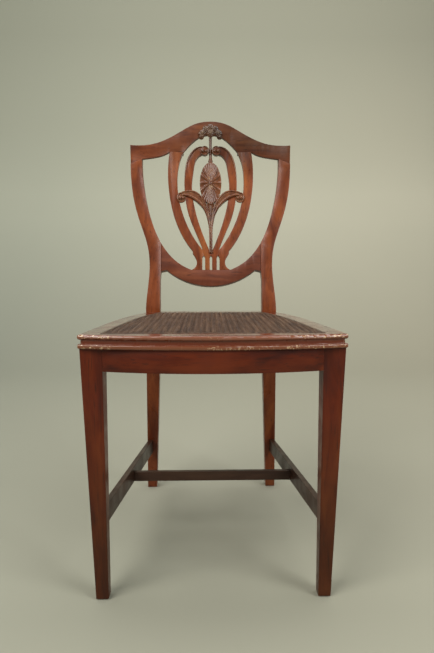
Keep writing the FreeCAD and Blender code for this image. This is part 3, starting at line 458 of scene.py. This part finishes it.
def add_bump(tree, shader, height, strength, distance, normal=None):
    bump = tree.nodes.new("ShaderNodeBump")
    bump.inputs["Strength"].default_value = strength
    bump.inputs["Distance"].default_value = distance
    tree.links.new(height, bump.inputs["Height"])
    if normal:
        tree.links.new(normal, bump.inputs["Normal"])
    tree.links.new(bump.outputs["Normal"], shader.inputs["Normal"])


def axis_share(tree, axis, low, high, to_low=0.0, to_high=1.0):
    where = tree.nodes.new("ShaderNodeTexCoord")
    split = tree.nodes.new("ShaderNodeSeparateXYZ")
    tree.links.new(where.outputs["Object"], split.inputs["Vector"])
    return level(tree, split.outputs[axis], low, high, to_low, to_high)


def z_share(tree, low, high):
    return axis_share(tree, "Z", low, high)


def product(tree, a, b):
    return math_node(tree, "MULTIPLY", a, b)


def beads_coloured(tree, base, whole):
    """Lighter, chipped beads above and below the deep red cove of the seat frame."""
    below_top = z_share(tree, SEAT_TOP - 0.3 * MM, SEAT_TOP - 1.2 * MM)
    upper = z_share(tree, COVE_TOP + 1.6 * MM, COVE_TOP + 3.2 * MM)
    upper = product(tree, upper, UPPER_BEAD_SHARE)
    lower = z_share(tree, COVE_BOTTOM, COVE_BOTTOM - 1.5 * MM)
    lower = product(tree, lower, LOWER_BEAD_SHARE)
    base = mix_colour(tree, product(tree, below_top, COVE_RED_SHARE), base, COVE_RED)
    base = mix_colour(tree, product(tree, upper, below_top), base, UPPER_BEAD)
    base = mix_colour(tree, lower, base, LOWER_BEAD)
    specks = noise_value(tree, whole, CHIP_SCALE, 5.0, 0.4, 0.65)
    clusters = noise_value(tree, whole, CHIP_CLUSTER_SCALE, 3.0, 0.3)
    chips = product(tree, level(tree, specks, 0.56, 0.61), level(tree, clusters, 0.46, 0.60))
    on_bead = product(tree, math_node(tree, "MAXIMUM", upper, lower), below_top)
    chips = product(tree, chips, product(tree, on_bead, 1.6))
    chips = math_node(tree, "MINIMUM", chips, 1.0)
    return mix_colour(tree, chips, base, BARE_CHIP), chips


def stretched(axis, share):
    return tuple(share if letter == axis else 1.0 for letter in "xyz")


def polished_wood(
    name, grain, tones, streak, wear, wear_colour, shift=0.0, gloss=0.34, shine=0.10,
    moulded=False, foot=None,
):
    """Old polished hardwood: stretched grain, pores, patches of colour and rubbed edges.

    wear is how far rubbed edges and chips show, in wear_colour; on carving this colour is also a
    painted highlight on the ridges. gloss is the polish's roughness before smears and shine its
    coat. shift turns the noise, so that no two woods look alike. foot holds the heights and the
    shade of a darker foot.
    """
    material, tree, shader = new_material(name)
    turn = (0.05 + shift, 0.03, 0.0)
    along = place_coordinates(tree, stretched(grain, ALONG_GRAIN), turn)
    whole = place_coordinates(tree, (1.0, 1.0, 1.0), (shift, shift, 0.0))
    figure = noise_value(tree, along, GRAIN_SCALE, 6.0, 0.9)
    patches = noise_value(tree, whole, PATCH_SCALE, 3.0, 0.4)
    ribbon = noise_value(tree, along, RIBBON_SCALE, 3.0, 1.6)
    dark, middle, light = tones
    base = ramp(tree, figure, [(0.28, dark), (0.52, middle), (0.76, light)])
    base = mix_colour(tree, level(tree, ribbon, 0.52, 0.74, 0.0, 0.75), base, streak)
    base = mix_colour(tree, level(tree, patches, 0.45, 0.75, 0.0, 0.55), base, dark)
    pores_at = place_coordinates(tree, stretched(grain, ALONG_PORES), turn)
    pores = level(tree, noise_value(tree, pores_at, PORE_SCALE, 2.0), 0.60, 0.70)
    base = mix_colour(tree, product(tree, pores, 0.55), base, PORE)
    rubbed = noise_value(tree, whole, RUB_SCALE, 5.0, 0.3, 0.7)
    chips = level(tree, rubbed, 0.62 - 0.2 * wear, 0.66 - 0.16 * wear)
    wear_and_glint = product(tree, product(tree, edge_mask(tree, WORN_EDGE), chips), wear)
    base = mix_colour(tree, wear_and_glint, base, wear_colour)
    if moulded:
        base, chipped = beads_coloured(tree, base, whole)
        wear_and_glint = math_node(tree, "MAXIMUM", wear_and_glint, chipped)
    else:
        # painted shade: the top of the back is darker, more so to the right
        painted_shade_to_right = axis_share(tree, "X", *PAINTED_SHADE_SIDES, PAINTED_SHADE_LEFT_SHARE)
        high = product(tree, z_share(tree, *PAINTED_SHADE_HEIGHTS), painted_shade_to_right)
        base = mix_colour(tree, high, base, SHADED_TOP, "MULTIPLY")
    if foot:
        heights, shade = foot
        base = mix_colour(tree, z_share(tree, *heights), base, shade, "MULTIPLY")
    tree.links.new(base, shader.inputs["Base Color"])
    smears = noise_value(tree, whole, SMEAR_SCALE, 4.0, 0.6)
    rough = level(tree, smears, 0.35, 0.70, gloss - 0.07, gloss + 0.13)
    tree.links.new(rough, shader.inputs["Roughness"])
    shader.inputs["Specular IOR Level"].default_value = 0.25
    shader.inputs["Coat Weight"].default_value = shine
    shader.inputs["Coat Roughness"].default_value = 0.16
    height = math_node(tree, "SUBTRACT", figure, product(tree, pores, 0.5))
    height = math_node(tree, "SUBTRACT", height, product(tree, wear_and_glint, 0.8))
    add_bump(tree, shader, height, 0.22, 0.4 * MM, rounded_normal(tree, SOFT_EDGE))
    return material


def bare_wood(name, grain):
    """Unpolished wood, as on glue blocks and dowels."""
    material, tree, shader = new_material(name)
    along = place_coordinates(tree, stretched(grain, ALONG_GRAIN))
    figure = noise_value(tree, along, 60.0, 5.0, 0.8)
    stops = [(0.3, (0.22, 0.12, 0.06)), (0.55, (0.36, 0.22, 0.12)), (0.8, (0.45, 0.30, 0.18))]
    tree.links.new(ramp(tree, figure, stops), shader.inputs["Base Color"])
    tree.links.new(level(tree, figure, 0.3, 0.7, 0.62, 0.8), shader.inputs["Roughness"])
    add_bump(tree, shader, figure, 0.4, 0.4 * MM)
    return material


def aged_cane(name, tones):
    """Stained cane: a tone to each strand, and darker stains across them."""
    material, tree, shader = new_material(name)
    whole = place_coordinates(tree, (1.0, 1.0, 1.0))
    strands = place_coordinates(tree, stretched("y", 0.06))
    strand_tone = noise_value(tree, strands, 260.0, 2.0)
    stains = noise_value(tree, whole, 16.0, 4.0, 0.5)
    dark, middle, light = tones
    base = ramp(tree, strand_tone, [(0.3, dark), (0.5, middle), (0.72, light)])
    base = mix_colour(tree, level(tree, stains, 0.45, 0.7, 0.0, 0.5), base, dark)
    tree.links.new(base, shader.inputs["Base Color"])
    tree.links.new(level(tree, stains, 0.3, 0.7, 0.34, 0.5), shader.inputs["Roughness"])
    add_bump(tree, shader, strand_tone, 0.3, 0.15 * MM)
    return material


def dull_steel(name):
    """Tarnished steel with rust-brown spots."""
    material, tree, shader = new_material(name)
    whole = place_coordinates(tree, (1.0, 1.0, 1.0))
    spots = noise_value(tree, whole, 300.0, 4.0)
    stops = [(0.35, (0.10, 0.07, 0.05)), (0.6, (0.34, 0.32, 0.29))]
    tree.links.new(ramp(tree, spots, stops), shader.inputs["Base Color"])
    tree.links.new(level(tree, spots, 0.3, 0.7, 0.65, 0.4), shader.inputs["Roughness"])
    shader.inputs["Metallic"].default_value = 0.9
    return material


# Tones of wood, each dark, middle and light
RED = ((0.098, 0.020, 0.007), (0.215, 0.052, 0.015), (0.32, 0.086, 0.024))
LOWER_RAIL = ((0.075, 0.018, 0.009), (0.165, 0.044, 0.019), (0.25, 0.075, 0.030))
CARVED = ((0.066, 0.017, 0.006), (0.170, 0.056, 0.022), (0.27, 0.102, 0.042))
DEEP = ((0.038, 0.006, 0.003), (0.102, 0.014, 0.003), (0.15, 0.027, 0.006))
# the stretchers' tones, darker and greyer than the legs': painted shade under the seat
SHADED_STRETCHER_TONES = ((0.020, 0.008, 0.005), (0.042, 0.018, 0.010), (0.065, 0.030, 0.017))
ORANGE_STREAK = (0.36, 0.115, 0.028)
CREST_STREAK = (0.30, 0.085, 0.026)
LOWER_RAIL_STREAK = (0.17, 0.050, 0.022)
FRAME_STREAK = (0.26, 0.070, 0.022)
RED_STREAK = (0.17, 0.030, 0.008)
SHADED_STRETCHER_STREAK = (0.09, 0.045, 0.026)
RUBBED = (0.42, 0.22, 0.13)
# colour of the carvings' rubbed ridges: partly wear and partly a painted highlight
RIDGE_WEAR_AND_PAINTED_GLINT = (0.62, 0.38, 0.20)
CHIPPED = (0.62, 0.42, 0.27)

CANE_TONES = ((0.036, 0.016, 0.008), (0.088, 0.043, 0.022), (0.145, 0.080, 0.044))
REED_TONES = ((0.03, 0.014, 0.008), (0.075, 0.04, 0.022), (0.13, 0.075, 0.045))

back_wood = polished_wood(
    "back_wood", "z", RED, ORANGE_STREAK, 0.35, RUBBED, shift=0.1, foot=REAR_FOOT
)
rib_wood = polished_wood("rib_wood", "z", RED, ORANGE_STREAK, 0.35, RUBBED, shift=0.4)
crest_wood = polished_wood("crest_wood", "x", RED, CREST_STREAK, 0.35, RUBBED, shift=0.2)
lower_rail_wood = polished_wood(
    "lower_rail_wood", "x", LOWER_RAIL, LOWER_RAIL_STREAK, 0.3, RUBBED,
    shift=0.7, gloss=0.42, shine=0.03,
)
# carved wood: its rubbed edges and ridges are partly wear and partly a painted highlight
carved_wood = polished_wood(
    "carved_wood", "z", CARVED, ORANGE_STREAK, 0.85, RIDGE_WEAR_AND_PAINTED_GLINT, shift=0.9, gloss=0.24, shine=0.4
)
leg_wood = polished_wood(
    "leg_wood", "z", DEEP, RED_STREAK, 0.3, RUBBED,
    shift=0.3, gloss=0.36, shine=0.06, foot=FRONT_FOOT,
)
rail_wood = polished_wood(
    "rail_wood", "x", DEEP, RED_STREAK, 0.35, RUBBED, shift=0.5, gloss=0.36, shine=0.04
)
side_rail_wood = polished_wood(
    "side_rail_wood", "y", DEEP, RED_STREAK, 0.35, RUBBED, shift=0.6, gloss=0.36
)
frame_wood = polished_wood(
    "frame_wood", "x", DEEP, FRAME_STREAK, 0.95, CHIPPED,
    shift=0.8, gloss=0.26, shine=0.8, moulded=True,
)
frame_side_wood = polished_wood(
    "frame_side_wood", "y", DEEP, FRAME_STREAK, 0.9, CHIPPED,
    shift=0.15, gloss=0.26, shine=0.8, moulded=True,
)
# stretchers in the darker tones: painted shade under the seat
stretcher_wood = polished_wood(
    "stretcher_wood", "y", SHADED_STRETCHER_TONES, SHADED_STRETCHER_STREAK, 0.4, RUBBED, shift=0.25, gloss=0.4
)
medial_wood = polished_wood(
    "medial_wood", "x", SHADED_STRETCHER_TONES, SHADED_STRETCHER_STREAK, 0.3, RUBBED, shift=0.35, gloss=0.4
)
block_wood = bare_wood("block_wood", "x")
cane_stuff = aged_cane("aged_cane", CANE_TONES)
reed_stuff = aged_cane("aged_reed", REED_TONES)
steel = dull_steel("dull_steel")

NODE_MATERIALS = {
    "front_leg": leg_wood,
    "rear_post": back_wood,
    "front_seat_rail": rail_wood,
    "side_seat_rail": side_rail_wood,
    "rear_seat_rail": rail_wood,
    "seat_frame_front": frame_wood,
    "seat_frame_rear": frame_wood,
    "seat_frame_left": frame_side_wood,
    "seat_frame_right": frame_side_wood,
    "seat_frame_dowels": block_wood,
    "seat_frame_screws": steel,
    "corner_block_screws": steel,
    "corner_block": block_wood,
    "side_stretcher": stretcher_wood,
    "medial_stretcher": medial_wood,
    "crest_rail": crest_wood,
    "shield_lower_rail": lower_rail_wood,
    "outer_rib": rib_wood,
    "inner_rib": rib_wood,
    "leaf_spray": carved_wood,
    "medallion": carved_wood,
    "upper_stem": carved_wood,
    "crest_carving": carved_wood,
    "cane_panel": cane_stuff,
    "reed_spline": reed_stuff,
}
# Edge rounding in mm, by the start of a node's name
EDGE_ROUNDING = {"crest_rail": 0.5, "rear_post": 0.6, "outer_rib": 0.4, "shield_lower_rail": 0.4}
DEFAULT_EDGE_ROUNDING = 0.7
SHARPEST_FLAT = math.radians(0.6)
SHARP_EDGE = math.radians(45.0)
UNROUNDED = ("seat_frame_screws", "corner_block_screws", "seat_frame_dowels")


def longest_prefix(table, name):
    fits = [key for key in table if name.startswith(key)]
    return max(fits, key=len) if fits else None


def round_edges(piece, width):
    """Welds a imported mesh, merges its flats and bevels its sharp edges."""
    weld = piece.modifiers.new("weld", "WELD")
    weld.merge_threshold = 0.01 * MM
    merge = piece.modifiers.new("merge_flats", "DECIMATE")
    merge.decimate_type = "DISSOLVE"
    merge.angle_limit = SHARPEST_FLAT
    bevel = piece.modifiers.new("round_edges", "BEVEL")
    bevel.width = width
    bevel.segments = 2
    bevel.limit_method = "ANGLE"
    bevel.angle_limit = SHARP_EDGE
    bevel.harden_normals = True


def dress_cad_nodes():
    for name, piece in NODES.items():
        piece.data.materials.clear()
        piece.data.materials.append(NODE_MATERIALS[longest_prefix(NODE_MATERIALS, name)])
        piece.data.polygons.foreach_set("material_index", [0] * len(piece.data.polygons))
        if not name.startswith(UNROUNDED):
            key = longest_prefix(EDGE_ROUNDING, name)
            width = EDGE_ROUNDING[key] if key else DEFAULT_EDGE_ROUNDING
            round_edges(piece, width * MM)


# Woven cane seat
def cane_room(y):
    return side_half_width(y) - CANE_BORDER_SIDE


def cane_limits(place, direction):
    """How far a line through place runs each way inside the cane's outline."""
    front = FRONT_Y + CANE_BORDER_FRONT
    back = POST_FACE_Y - CANE_BORDER_BACK

    def inside(t):
        p = place + direction * t
        return front <= p.y <= back and abs(p.x) <= cane_room(p.y)

    steps = CANE_REACH_STEPS
    tries = [CANE_REACH * (2 * i / steps - 1) for i in range(steps + 1)]
    hits = [t for t in tries if inside(t)]
    if len(hits) < 4:
        return None
    return min(hits), max(hits)


def add_strand(clay, place, direction, height_at):
    """One flat strand through place, at height_at over the seat and tucked in at its ends."""
    limits = cane_limits(place, direction)
    if not limits:
        return
    low, high = limits
    count = max(4, int((high - low) / CANE_PITCH * CANE_STEPS_PER_PITCH))
    across = Vector((direction.y, -direction.x, 0.0)) * CANE_HALF_WIDTH
    rings = []
    for i in range(count + 1):
        t = low + (high - low) * i / count
        p = place + direction * t
        end = min(t - low, high - t) / CANE_END_FALL
        lift = height_at(p) * min(1.0, end) - CANE_END_SINK * max(0.0, 1.0 - end)
        p = Vector((p.x, p.y, SEAT_TOP + lift))
        up = Vector((0.0, 0.0, CANE_THICKNESS))
        crown = across * CANE_CROWN_SHARE
        rings.append(clay.ring([p - across, p - crown + up, p + crown + up, p + across]))
    for before, after in zip(rings, rings[1:]):
        clay.bridge(before, after)
    clay.cap(rings[0])
    clay.cap(rings[-1], flip=True)


def bump_at(distance):
    return math.exp(-((distance / CANE_CROSSING_WIDTH) ** 2))


def wrapped(value):
    """The distance to the nearest multiple of the weave's pitch."""
    return (value + CANE_PITCH / 2) % CANE_PITCH - CANE_PITCH / 2


def woven_cane():
    """Six-way weave: two strands lengthwise, two crosswise and one along each diagonal."""
    clay = Clay()
    middle_y = (FRONT_Y + POST_FACE_Y) / 2
    columns = int(CANE_SPREAD / CANE_PITCH)
    near = CANE_PAIR_OFFSET

    def lengthwise_low(p):
        return LENGTHWISE_UNDER

    def lengthwise_high(p):
        return LENGTHWISE_OVER - LENGTHWISE_DIP * bump_at(wrapped(p.y - middle_y - near))

    def cross_low(p):
        return CROSS_LOW

    def cross_woven(p):
        return CROSS_WOVEN + CROSS_RISE * bump_at(wrapped(p.x - near))

    def first_diagonal(p):
        wave = math.cos(2 * math.pi * (p.x - near) / CANE_PITCH)
        return FIRST_DIAGONAL + DIAGONAL_WAVE * wave

    def second_diagonal(p):
        wave = math.cos(2 * math.pi * (p.x + near) / CANE_PITCH)
        return SECOND_DIAGONAL + DIAGONAL_WAVE * wave

    along = Vector((0.0, 1.0, 0.0))
    cross = Vector((1.0, 0.0, 0.0))
    for i in range(-columns, columns + 1):
        x = i * CANE_PITCH
        y = middle_y + i * CANE_PITCH
        add_strand(clay, Vector((x - near, middle_y, 0)), along, lengthwise_low)
        add_strand(clay, Vector((x + near, middle_y, 0)), along, lengthwise_high)
        add_strand(clay, Vector((0, y - near, 0)), cross, cross_low)
        add_strand(clay, Vector((0, y + near, 0)), cross, cross_woven)
    slant = Vector((1.0, 1.0, 0.0)).normalized()
    other = Vector((1.0, -1.0, 0.0)).normalized()
    for i in range(-2 * columns, 2 * columns + 1):
        x = i * CANE_PITCH
        add_strand(clay, Vector((x, middle_y, 0)), slant, first_diagonal)
        add_strand(clay, Vector((x, middle_y, 0)), other, second_diagonal)
    piece = make_piece("woven_cane", clay, cane_stuff)
    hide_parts("cane_panel")


# Fluted medallion: sharp ridges to the sides, two wide reeded petals up and down
RIDGES = 16
RIDGE_STEP = 2 * math.pi / RIDGES
BOSS_SHARE = 0.13
MEDALLION_RISE = 0.0044
GOUGE_DEPTH = 0.85
PETAL_DEPTH = 0.16
PETAL_REED_DEPTH = 0.20
PETAL_EDGE_COSINE = 0.66
PETAL_EDGE_WIDTH = 0.08
# Scales at the medallion's foot: x and rise in metres
FOOT_SCALES = ((0.0, 0.0028), (-0.0042, 0.0022), (0.0042, 0.0022))
FOOT_SCALE_RADII = (0.0032, 0.0052)


def medallion_surface(u, angle):
    """Share of the full rise at share u of the radius, with gouges cut into the dome."""
    if u < BOSS_SHARE:
        return 0.92 + 0.35 * math.sqrt(max(0.0, 1 - (u / BOSS_SHARE) ** 2))
    dome = 0.35 + 0.65 * math.sqrt(max(0.0, 1 - (u * 0.9) ** 2))
    phase = (angle / RIDGE_STEP) % 1.0
    gouge = GOUGE_DEPTH * 4 * phase * (1 - phase)
    reeds = PETAL_DEPTH + PETAL_REED_DEPTH * abs(math.sin(2 * math.pi * angle / RIDGE_STEP))
    past_petal = (abs(math.cos(angle)) - PETAL_EDGE_COSINE) / PETAL_EDGE_WIDTH
    to_side = min(1.0, max(0.0, past_petal))
    depth = to_side * gouge + (1 - to_side) * reeds
    return dome - depth * min(1.0, 0.35 + 1.3 * (u - BOSS_SHARE)) * (0.5 + 0.5 * dome)


def carved_medallion():
    clay = Clay()
    radii = (MEDALLION_HALF_WIDTH, MEDALLION_HALF_HEIGHT)
    add_dome(
        clay, (0.0, MEDALLION_S), radii, MEDALLION_RISE, MEDALLION_BACK, -0.2 * MM,
        medallion_surface, rings=MEDALLION_RINGS, around=RIDGES * SAMPLES_PER_RIDGE,
    )
    low = MEDALLION_S - MEDALLION_HALF_HEIGHT
    for x, rise in FOOT_SCALES:
        center = (x, low + 0.0015 + abs(x) * 0.25)
        add_dome(clay, center, FOOT_SCALE_RADII, rise, 2.0 * MM, -0.6 * MM, rings=7, around=18)
    piece = make_piece("carved_medallion", clay, carved_wood)
    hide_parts("medallion")


# Leaf spray with two reeded branches that curl over the inner ribs. Each route is a list
# of (x, s, half width) points.
LEAF_VOLUTE_RADII = (0.0094, 0.0114)
LEAF_VOLUTE_ARC = (math.radians(95), math.radians(-160))
LEAF_VOLUTE_BALL = 0.0046


def carved_leaf_spray():
    clay = Clay()
    volute_x, volute_s = LEAF_VOLUTE
    for side in (1, -1):
        lower = [
            (0.0022, STEM_FOOT_S, 0.0017),
            (0.0022, 0.1700, 0.0017),
            (0.0026, 0.2000, 0.0019),
            (0.0052, 0.2220, 0.0023),
            (0.0098, 0.2382, 0.0026),
            (0.0172, 0.2520, 0.0029),
            (0.0270, 0.2632, 0.0031),
            (0.0385, 0.2725, 0.0032),
            (0.0500, 0.2782, 0.0032),
            (0.0600, 0.2806, 0.0029),
            (volute_x - 0.0020, volute_s + 0.0058, 0.0022),
        ]
        add_reed(clay, lower, RIB_DEPTH * 0.6, side, rise_share=1.15, base=-1.8 * MM)
        upper = [
            (0.0006, 0.1900, 0.0011),
            (0.0022, 0.2150, 0.0017),
            (0.0050, 0.2360, 0.0020),
            (0.0100, 0.2540, 0.0022),
            (0.0175, 0.2690, 0.0023),
            (0.0260, 0.2800, 0.0023),
            (0.0360, 0.2875, 0.0023),
            (0.0480, 0.2905, 0.0023),
            (0.0590, 0.2892, 0.0022),
            (volute_x - 0.0002, volute_s + 0.0116, 0.0019),
        ]
        add_reed(clay, upper, 3.0 * MM, side, rise_share=1.1, base=-1.6 * MM)
        between = [
            (0.0030, 0.2150, 0.0026),
            (0.0085, 0.2390, 0.0045),
            (0.0160, 0.2570, 0.0062),
            (0.0250, 0.2700, 0.0074),
            (0.0360, 0.2795, 0.0080),
            (0.0480, 0.2840, 0.0076),
            (0.0590, 0.2848, 0.0062),
            (0.0660, 0.2820, 0.0058),
        ]
        add_reed(clay, between, 3.0 * MM, side, rise_share=0.14, base=-0.9 * MM)
        add_volute(
            clay, LEAF_VOLUTE, LEAF_VOLUTE_RADII, side, -0.3 * MM, LEAF_VOLUTE_ARC, LEAF_VOLUTE_BALL
        )
    body = [
        (0.0, STEM_FOOT_S, 0.0037),
        (0.0, 0.1700, 0.0037),
        (0.0, 0.2000, 0.0044),
        (0.0, 0.2200, 0.0075),
        (0.0, 0.2380, 0.0110),
        (0.0, 0.2500, 0.0150),
        (0.0, 0.2590, 0.0170),
    ]
    add_reed(clay, body, RIB_DEPTH * 0.7, rise_share=0.05, base=-0.3 * MM)
    spine = [(0.0, 0.2050, 0.0008), (0.0, 0.2300, 0.0016), (0.0, 0.2560, 0.0024)]
    add_reed(clay, spine, 1.0 * MM, base=-0.9 * MM)
    piece = make_piece("carved_leaf_spray", clay, carved_wood)
    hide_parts("leaf_spray")


# Turned stem above the medallion, its foot let into the medallion's tip
STEM_SINK = 0.0035
STEM_CENTER_N = 0.0055
STEM_DEPTH_SHARE = 0.95


def turned_stem():
    clay = Clay()
    low = MEDALLION_S + MEDALLION_HALF_HEIGHT - STEM_SINK
    profile = [
        (low - 0.002, 0.0062),
        (low + 0.003, 0.0058),
        (low + 0.007, 0.0050),
        (low + 0.009, 0.0058),
        (low + 0.012, 0.0046),
        (low + 0.016, 0.0038),
        (low + 0.023, 0.0036),
        (low + 0.028, 0.0042),
        (low + 0.032, 0.0036),
        (low + 0.050, 0.0034),
        (CARVING_S - 0.004, 0.0038),
    ]
    add_turning(clay, profile, STEM_CENTER_N, STEM_DEPTH_SHARE)
    piece = make_piece("turned_stem", clay, carved_wood)
    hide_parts("upper_stem")


# Carved cluster on the crest: leaves as (x, up, half width, half height, rise, lobes), and
# berries as (x, up). Those off the middle are made on both sides.
CLUSTER_LEAVES = (
    (0.0, 0.0180, 0.0092, 0.0092, 0.0046, 7),
    (0.0, 0.0030, 0.0090, 0.0100, 0.0048, 8),
    (0.0112, 0.0135, 0.0088, 0.0088, 0.0042, 6),
    (0.0192, 0.0040, 0.0092, 0.0082, 0.0044, 7),
    (0.0218, -0.0060, 0.0064, 0.0066, 0.0049, 5),
)
CLUSTER_BERRIES = (
    (0.0, 0.0105), (0.0048, 0.0070), (0.0140, 0.0072), (0.0130, 0.0190), (0.0256, 0.0008)
)
BERRY_RADIUS = 0.0026
LEAF_VEIN_DEPTH = 0.55


def leaf_lobe(lobes):
    def surface(u, angle):
        dome = math.sqrt(max(0.0, 1 - u * u))
        vein = abs(math.sin(lobes / 2 * angle)) ** 0.7
        return dome * (1 - LEAF_VEIN_DEPTH * min(1.0, 2.2 * u) * (1 - vein)) + 0.12 * (1 - u)
    return surface


def both_sides(x):
    return (1, -1) if x else (1,)


def crest_cluster():
    clay = Clay()
    base = -0.3 * MM
    for x, up, across, tall, rise, lobes in CLUSTER_LEAVES:
        for side in both_sides(x):
            center = (side * x, CARVING_S + up)
            add_dome(
                clay, center, (across, tall), rise, base, base, leaf_lobe(lobes), around=8 * lobes
            )
    sizes = (BERRY_RADIUS, BERRY_RADIUS)
    for x, up in CLUSTER_BERRIES:
        for side in both_sides(x):
            center = (side * x, CARVING_S + up)
            add_dome(clay, center, sizes, BERRY_RADIUS, base, -2.2 * MM, rings=6, around=14)
    piece = make_piece("carved_crest_cluster", clay, carved_wood)
    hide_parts("crest_carving")


# Volutes and carved fillets at the heads of the inner ribs
RIB_VOLUTE_RADII = (0.0092, 0.0104)
RIB_VOLUTE_ARC = (math.radians(70), math.radians(320))
RIB_VOLUTE_BALL = 0.0042
RIB_CARVING_BACK = 0.003


def rib_head_carving(side, name):
    clay = Clay()
    fillet = [
        (0.0609, 0.3180, 0.0004),
        (0.0602, 0.3350, 0.0010),
        (0.0564, 0.3570, 0.0014),
        (0.0500, 0.3750, 0.0016),
        (0.0410, 0.3890, 0.0018),
        (0.0300, 0.3975, 0.0017),
        (0.0225, 0.4000, 0.0011),
        (0.0180, 0.4000, 0.0004),
    ]
    add_reed(clay, fillet, RIB_CARVING_BACK, side, rise_share=1.1, base=-0.4 * MM)
    add_volute(
        clay, RIB_VOLUTE, RIB_VOLUTE_RADII, side, RIB_CARVING_BACK, RIB_VOLUTE_ARC, RIB_VOLUTE_BALL
    )
    make_piece(name, clay, carved_wood)


# Floor and backdrop in one sweep, with painted light: slightly warmer and lighter to the right, and
# painted shade on the floor and high up the wall
FLOOR_FRONT = -4.0
WALL_BACK = 3.2
WALL_TOP = 5.0
SWEEP_RADIUS = 1.6
SWEEP_STEPS = 12
BACKDROP_HALF_WIDTH = 6.0
FLOOR_LEFT = (0.278, 0.284, 0.225)
FLOOR_RIGHT = (0.378, 0.354, 0.267)
WALL_LEFT = (0.440, 0.444, 0.350)
WALL_RIGHT = (0.560, 0.530, 0.412)
WALL_PAINTED_SHADE = (0.245, 0.245, 0.185)
PAPER_CLOUD = (0.32, 0.34, 0.26)
LEFT_TO_RIGHT = (-1.3, 1.3)
FLOOR_TO_WALL = (0.0, 1.1)
WALL_SHADE_HEIGHTS = (0.9, 2.3)
WALL_SHADE_SHARE = 0.62
CLOUD_SCALE = 0.8
CLOUD_SHARE = 0.10


def sweep_backdrop():
    profile = [(FLOOR_FRONT, 0.0), (WALL_BACK - SWEEP_RADIUS, 0.0)]
    for i in range(1, SWEEP_STEPS + 1):
        angle = math.pi / 2 * i / SWEEP_STEPS
        y = WALL_BACK - SWEEP_RADIUS + SWEEP_RADIUS * math.sin(angle)
        profile.append((y, SWEEP_RADIUS - SWEEP_RADIUS * math.cos(angle)))
    profile.append((WALL_BACK, WALL_TOP))
    clay = Clay()
    half = BACKDROP_HALF_WIDTH
    rings = [clay.ring([Vector((-half, y, z)), Vector((half, y, z))]) for y, z in profile]
    for low, high in zip(rings, rings[1:]):
        clay.bridge(low, high, closed=False)
    mesh = bpy.data.meshes.new("backdrop")
    mesh.from_pydata([tuple(p) for p in clay.points], [], clay.faces)
    mesh.polygons.foreach_set("use_smooth", [True] * len(mesh.polygons))
    mesh.materials.append(backdrop_paper())
    backdrop = bpy.data.objects.new("backdrop", mesh)
    bpy.context.scene.collection.objects.link(backdrop)


def backdrop_paper():
    material, tree, shader = new_material("backdrop_paper")
    # painted light and shade on one paper: lighter to the right, darker on the floor and high up
    # the wall
    right_share = axis_share(tree, "X", *LEFT_TO_RIGHT)
    floor = mix_colour(tree, right_share, FLOOR_LEFT, FLOOR_RIGHT)
    wall = mix_colour(tree, right_share, WALL_LEFT, WALL_RIGHT)
    paper = mix_colour(tree, z_share(tree, *FLOOR_TO_WALL), floor, wall)
    wall_shade = axis_share(tree, "Z", *WALL_SHADE_HEIGHTS, 0.0, WALL_SHADE_SHARE)
    paper = mix_colour(tree, wall_shade, paper, WALL_PAINTED_SHADE)
    clouds = noise_value(tree, place_coordinates(tree, (1.0, 1.0, 1.0)), CLOUD_SCALE, 2.0)
    clouds = level(tree, clouds, 0.35, 0.65, 0.0, CLOUD_SHARE)
    paper = mix_colour(tree, clouds, paper, PAPER_CLOUD)
    tree.links.new(paper, shader.inputs["Base Color"])
    shader.inputs["Roughness"].default_value = 0.9
    return material


# Lights: name, place, target, size, power in watts and colour
LIGHTS = (
    ("key", (-1.7, -1.7, 2.4), (0, 0, 0.45), (1.8, 1.8), 72.0, (1.0, 0.98, 0.95)),
    ("fill", (2.0, -1.6, 1.9), (0, 0, 0.5), (1.2, 1.6), 45.0, (0.98, 1.0, 1.0)),
    ("wall", (0.0, 0.5, 3.1), (0, 2.4, 0.6), (3.6, 1.6), 67.0, (1.0, 1.0, 1.0)),
)
WORLD_COLOUR = (0.80, 0.83, 0.78, 1.0)
WORLD_STRENGTH = 0.33


def area_light(name, place, target, size, power, colour):
    light = bpy.data.lights.new(name, "AREA")
    light.shape = "RECTANGLE"
    light.size, light.size_y = size
    light.energy = power
    light.color = colour
    lamp = bpy.data.objects.new(name, light)
    lamp.location = place
    lamp.rotation_euler = (Vector(target) - Vector(place)).to_track_quat("-Z", "Y").to_euler()
    bpy.context.scene.collection.objects.link(lamp)


def light_studio():
    for light in LIGHTS:
        area_light(*light)
    world = bpy.data.worlds.new("studio")
    world.use_nodes = True
    background = world.node_tree.nodes["Background"]
    background.inputs["Color"].default_value = WORLD_COLOUR
    background.inputs["Strength"].default_value = WORLD_STRENGTH
    bpy.context.scene.world = world
    bpy.context.scene.view_settings.view_transform = "Standard"


def photo_camera():
    pitch, yaw = CAMERA_PITCH, CAMERA_YAW
    right = Vector((math.cos(yaw), -math.sin(yaw), 0.0))
    ahead = Vector((
        math.sin(yaw) * math.cos(pitch),
        math.cos(yaw) * math.cos(pitch),
        -math.sin(pitch),
    ))
    up = right.cross(ahead)
    turn = Matrix((right, up, -ahead)).transposed() @ Matrix.Rotation(CAMERA_ROLL, 3, "Z")
    lens = bpy.data.cameras.new("photo_camera")
    lens.sensor_width = SENSOR
    lens.lens = FOCAL_PIXELS / PHOTO_HEIGHT * SENSOR
    lens.clip_end = CLIP_END
    camera = bpy.data.objects.new("photo_camera", lens)
    camera.matrix_world = Matrix.Translation(CAMERA_PLACE) @ turn.to_4x4()
    bpy.context.scene.collection.objects.link(camera)
    bpy.context.scene.camera = camera


dress_cad_nodes()
woven_cane()
carved_medallion()
carved_leaf_spray()
turned_stem()
crest_cluster()
rib_head_carving(1, "rib_head_carving_right")
rib_head_carving(-1, "rib_head_carving_left")
sweep_backdrop()
light_studio()
photo_camera()
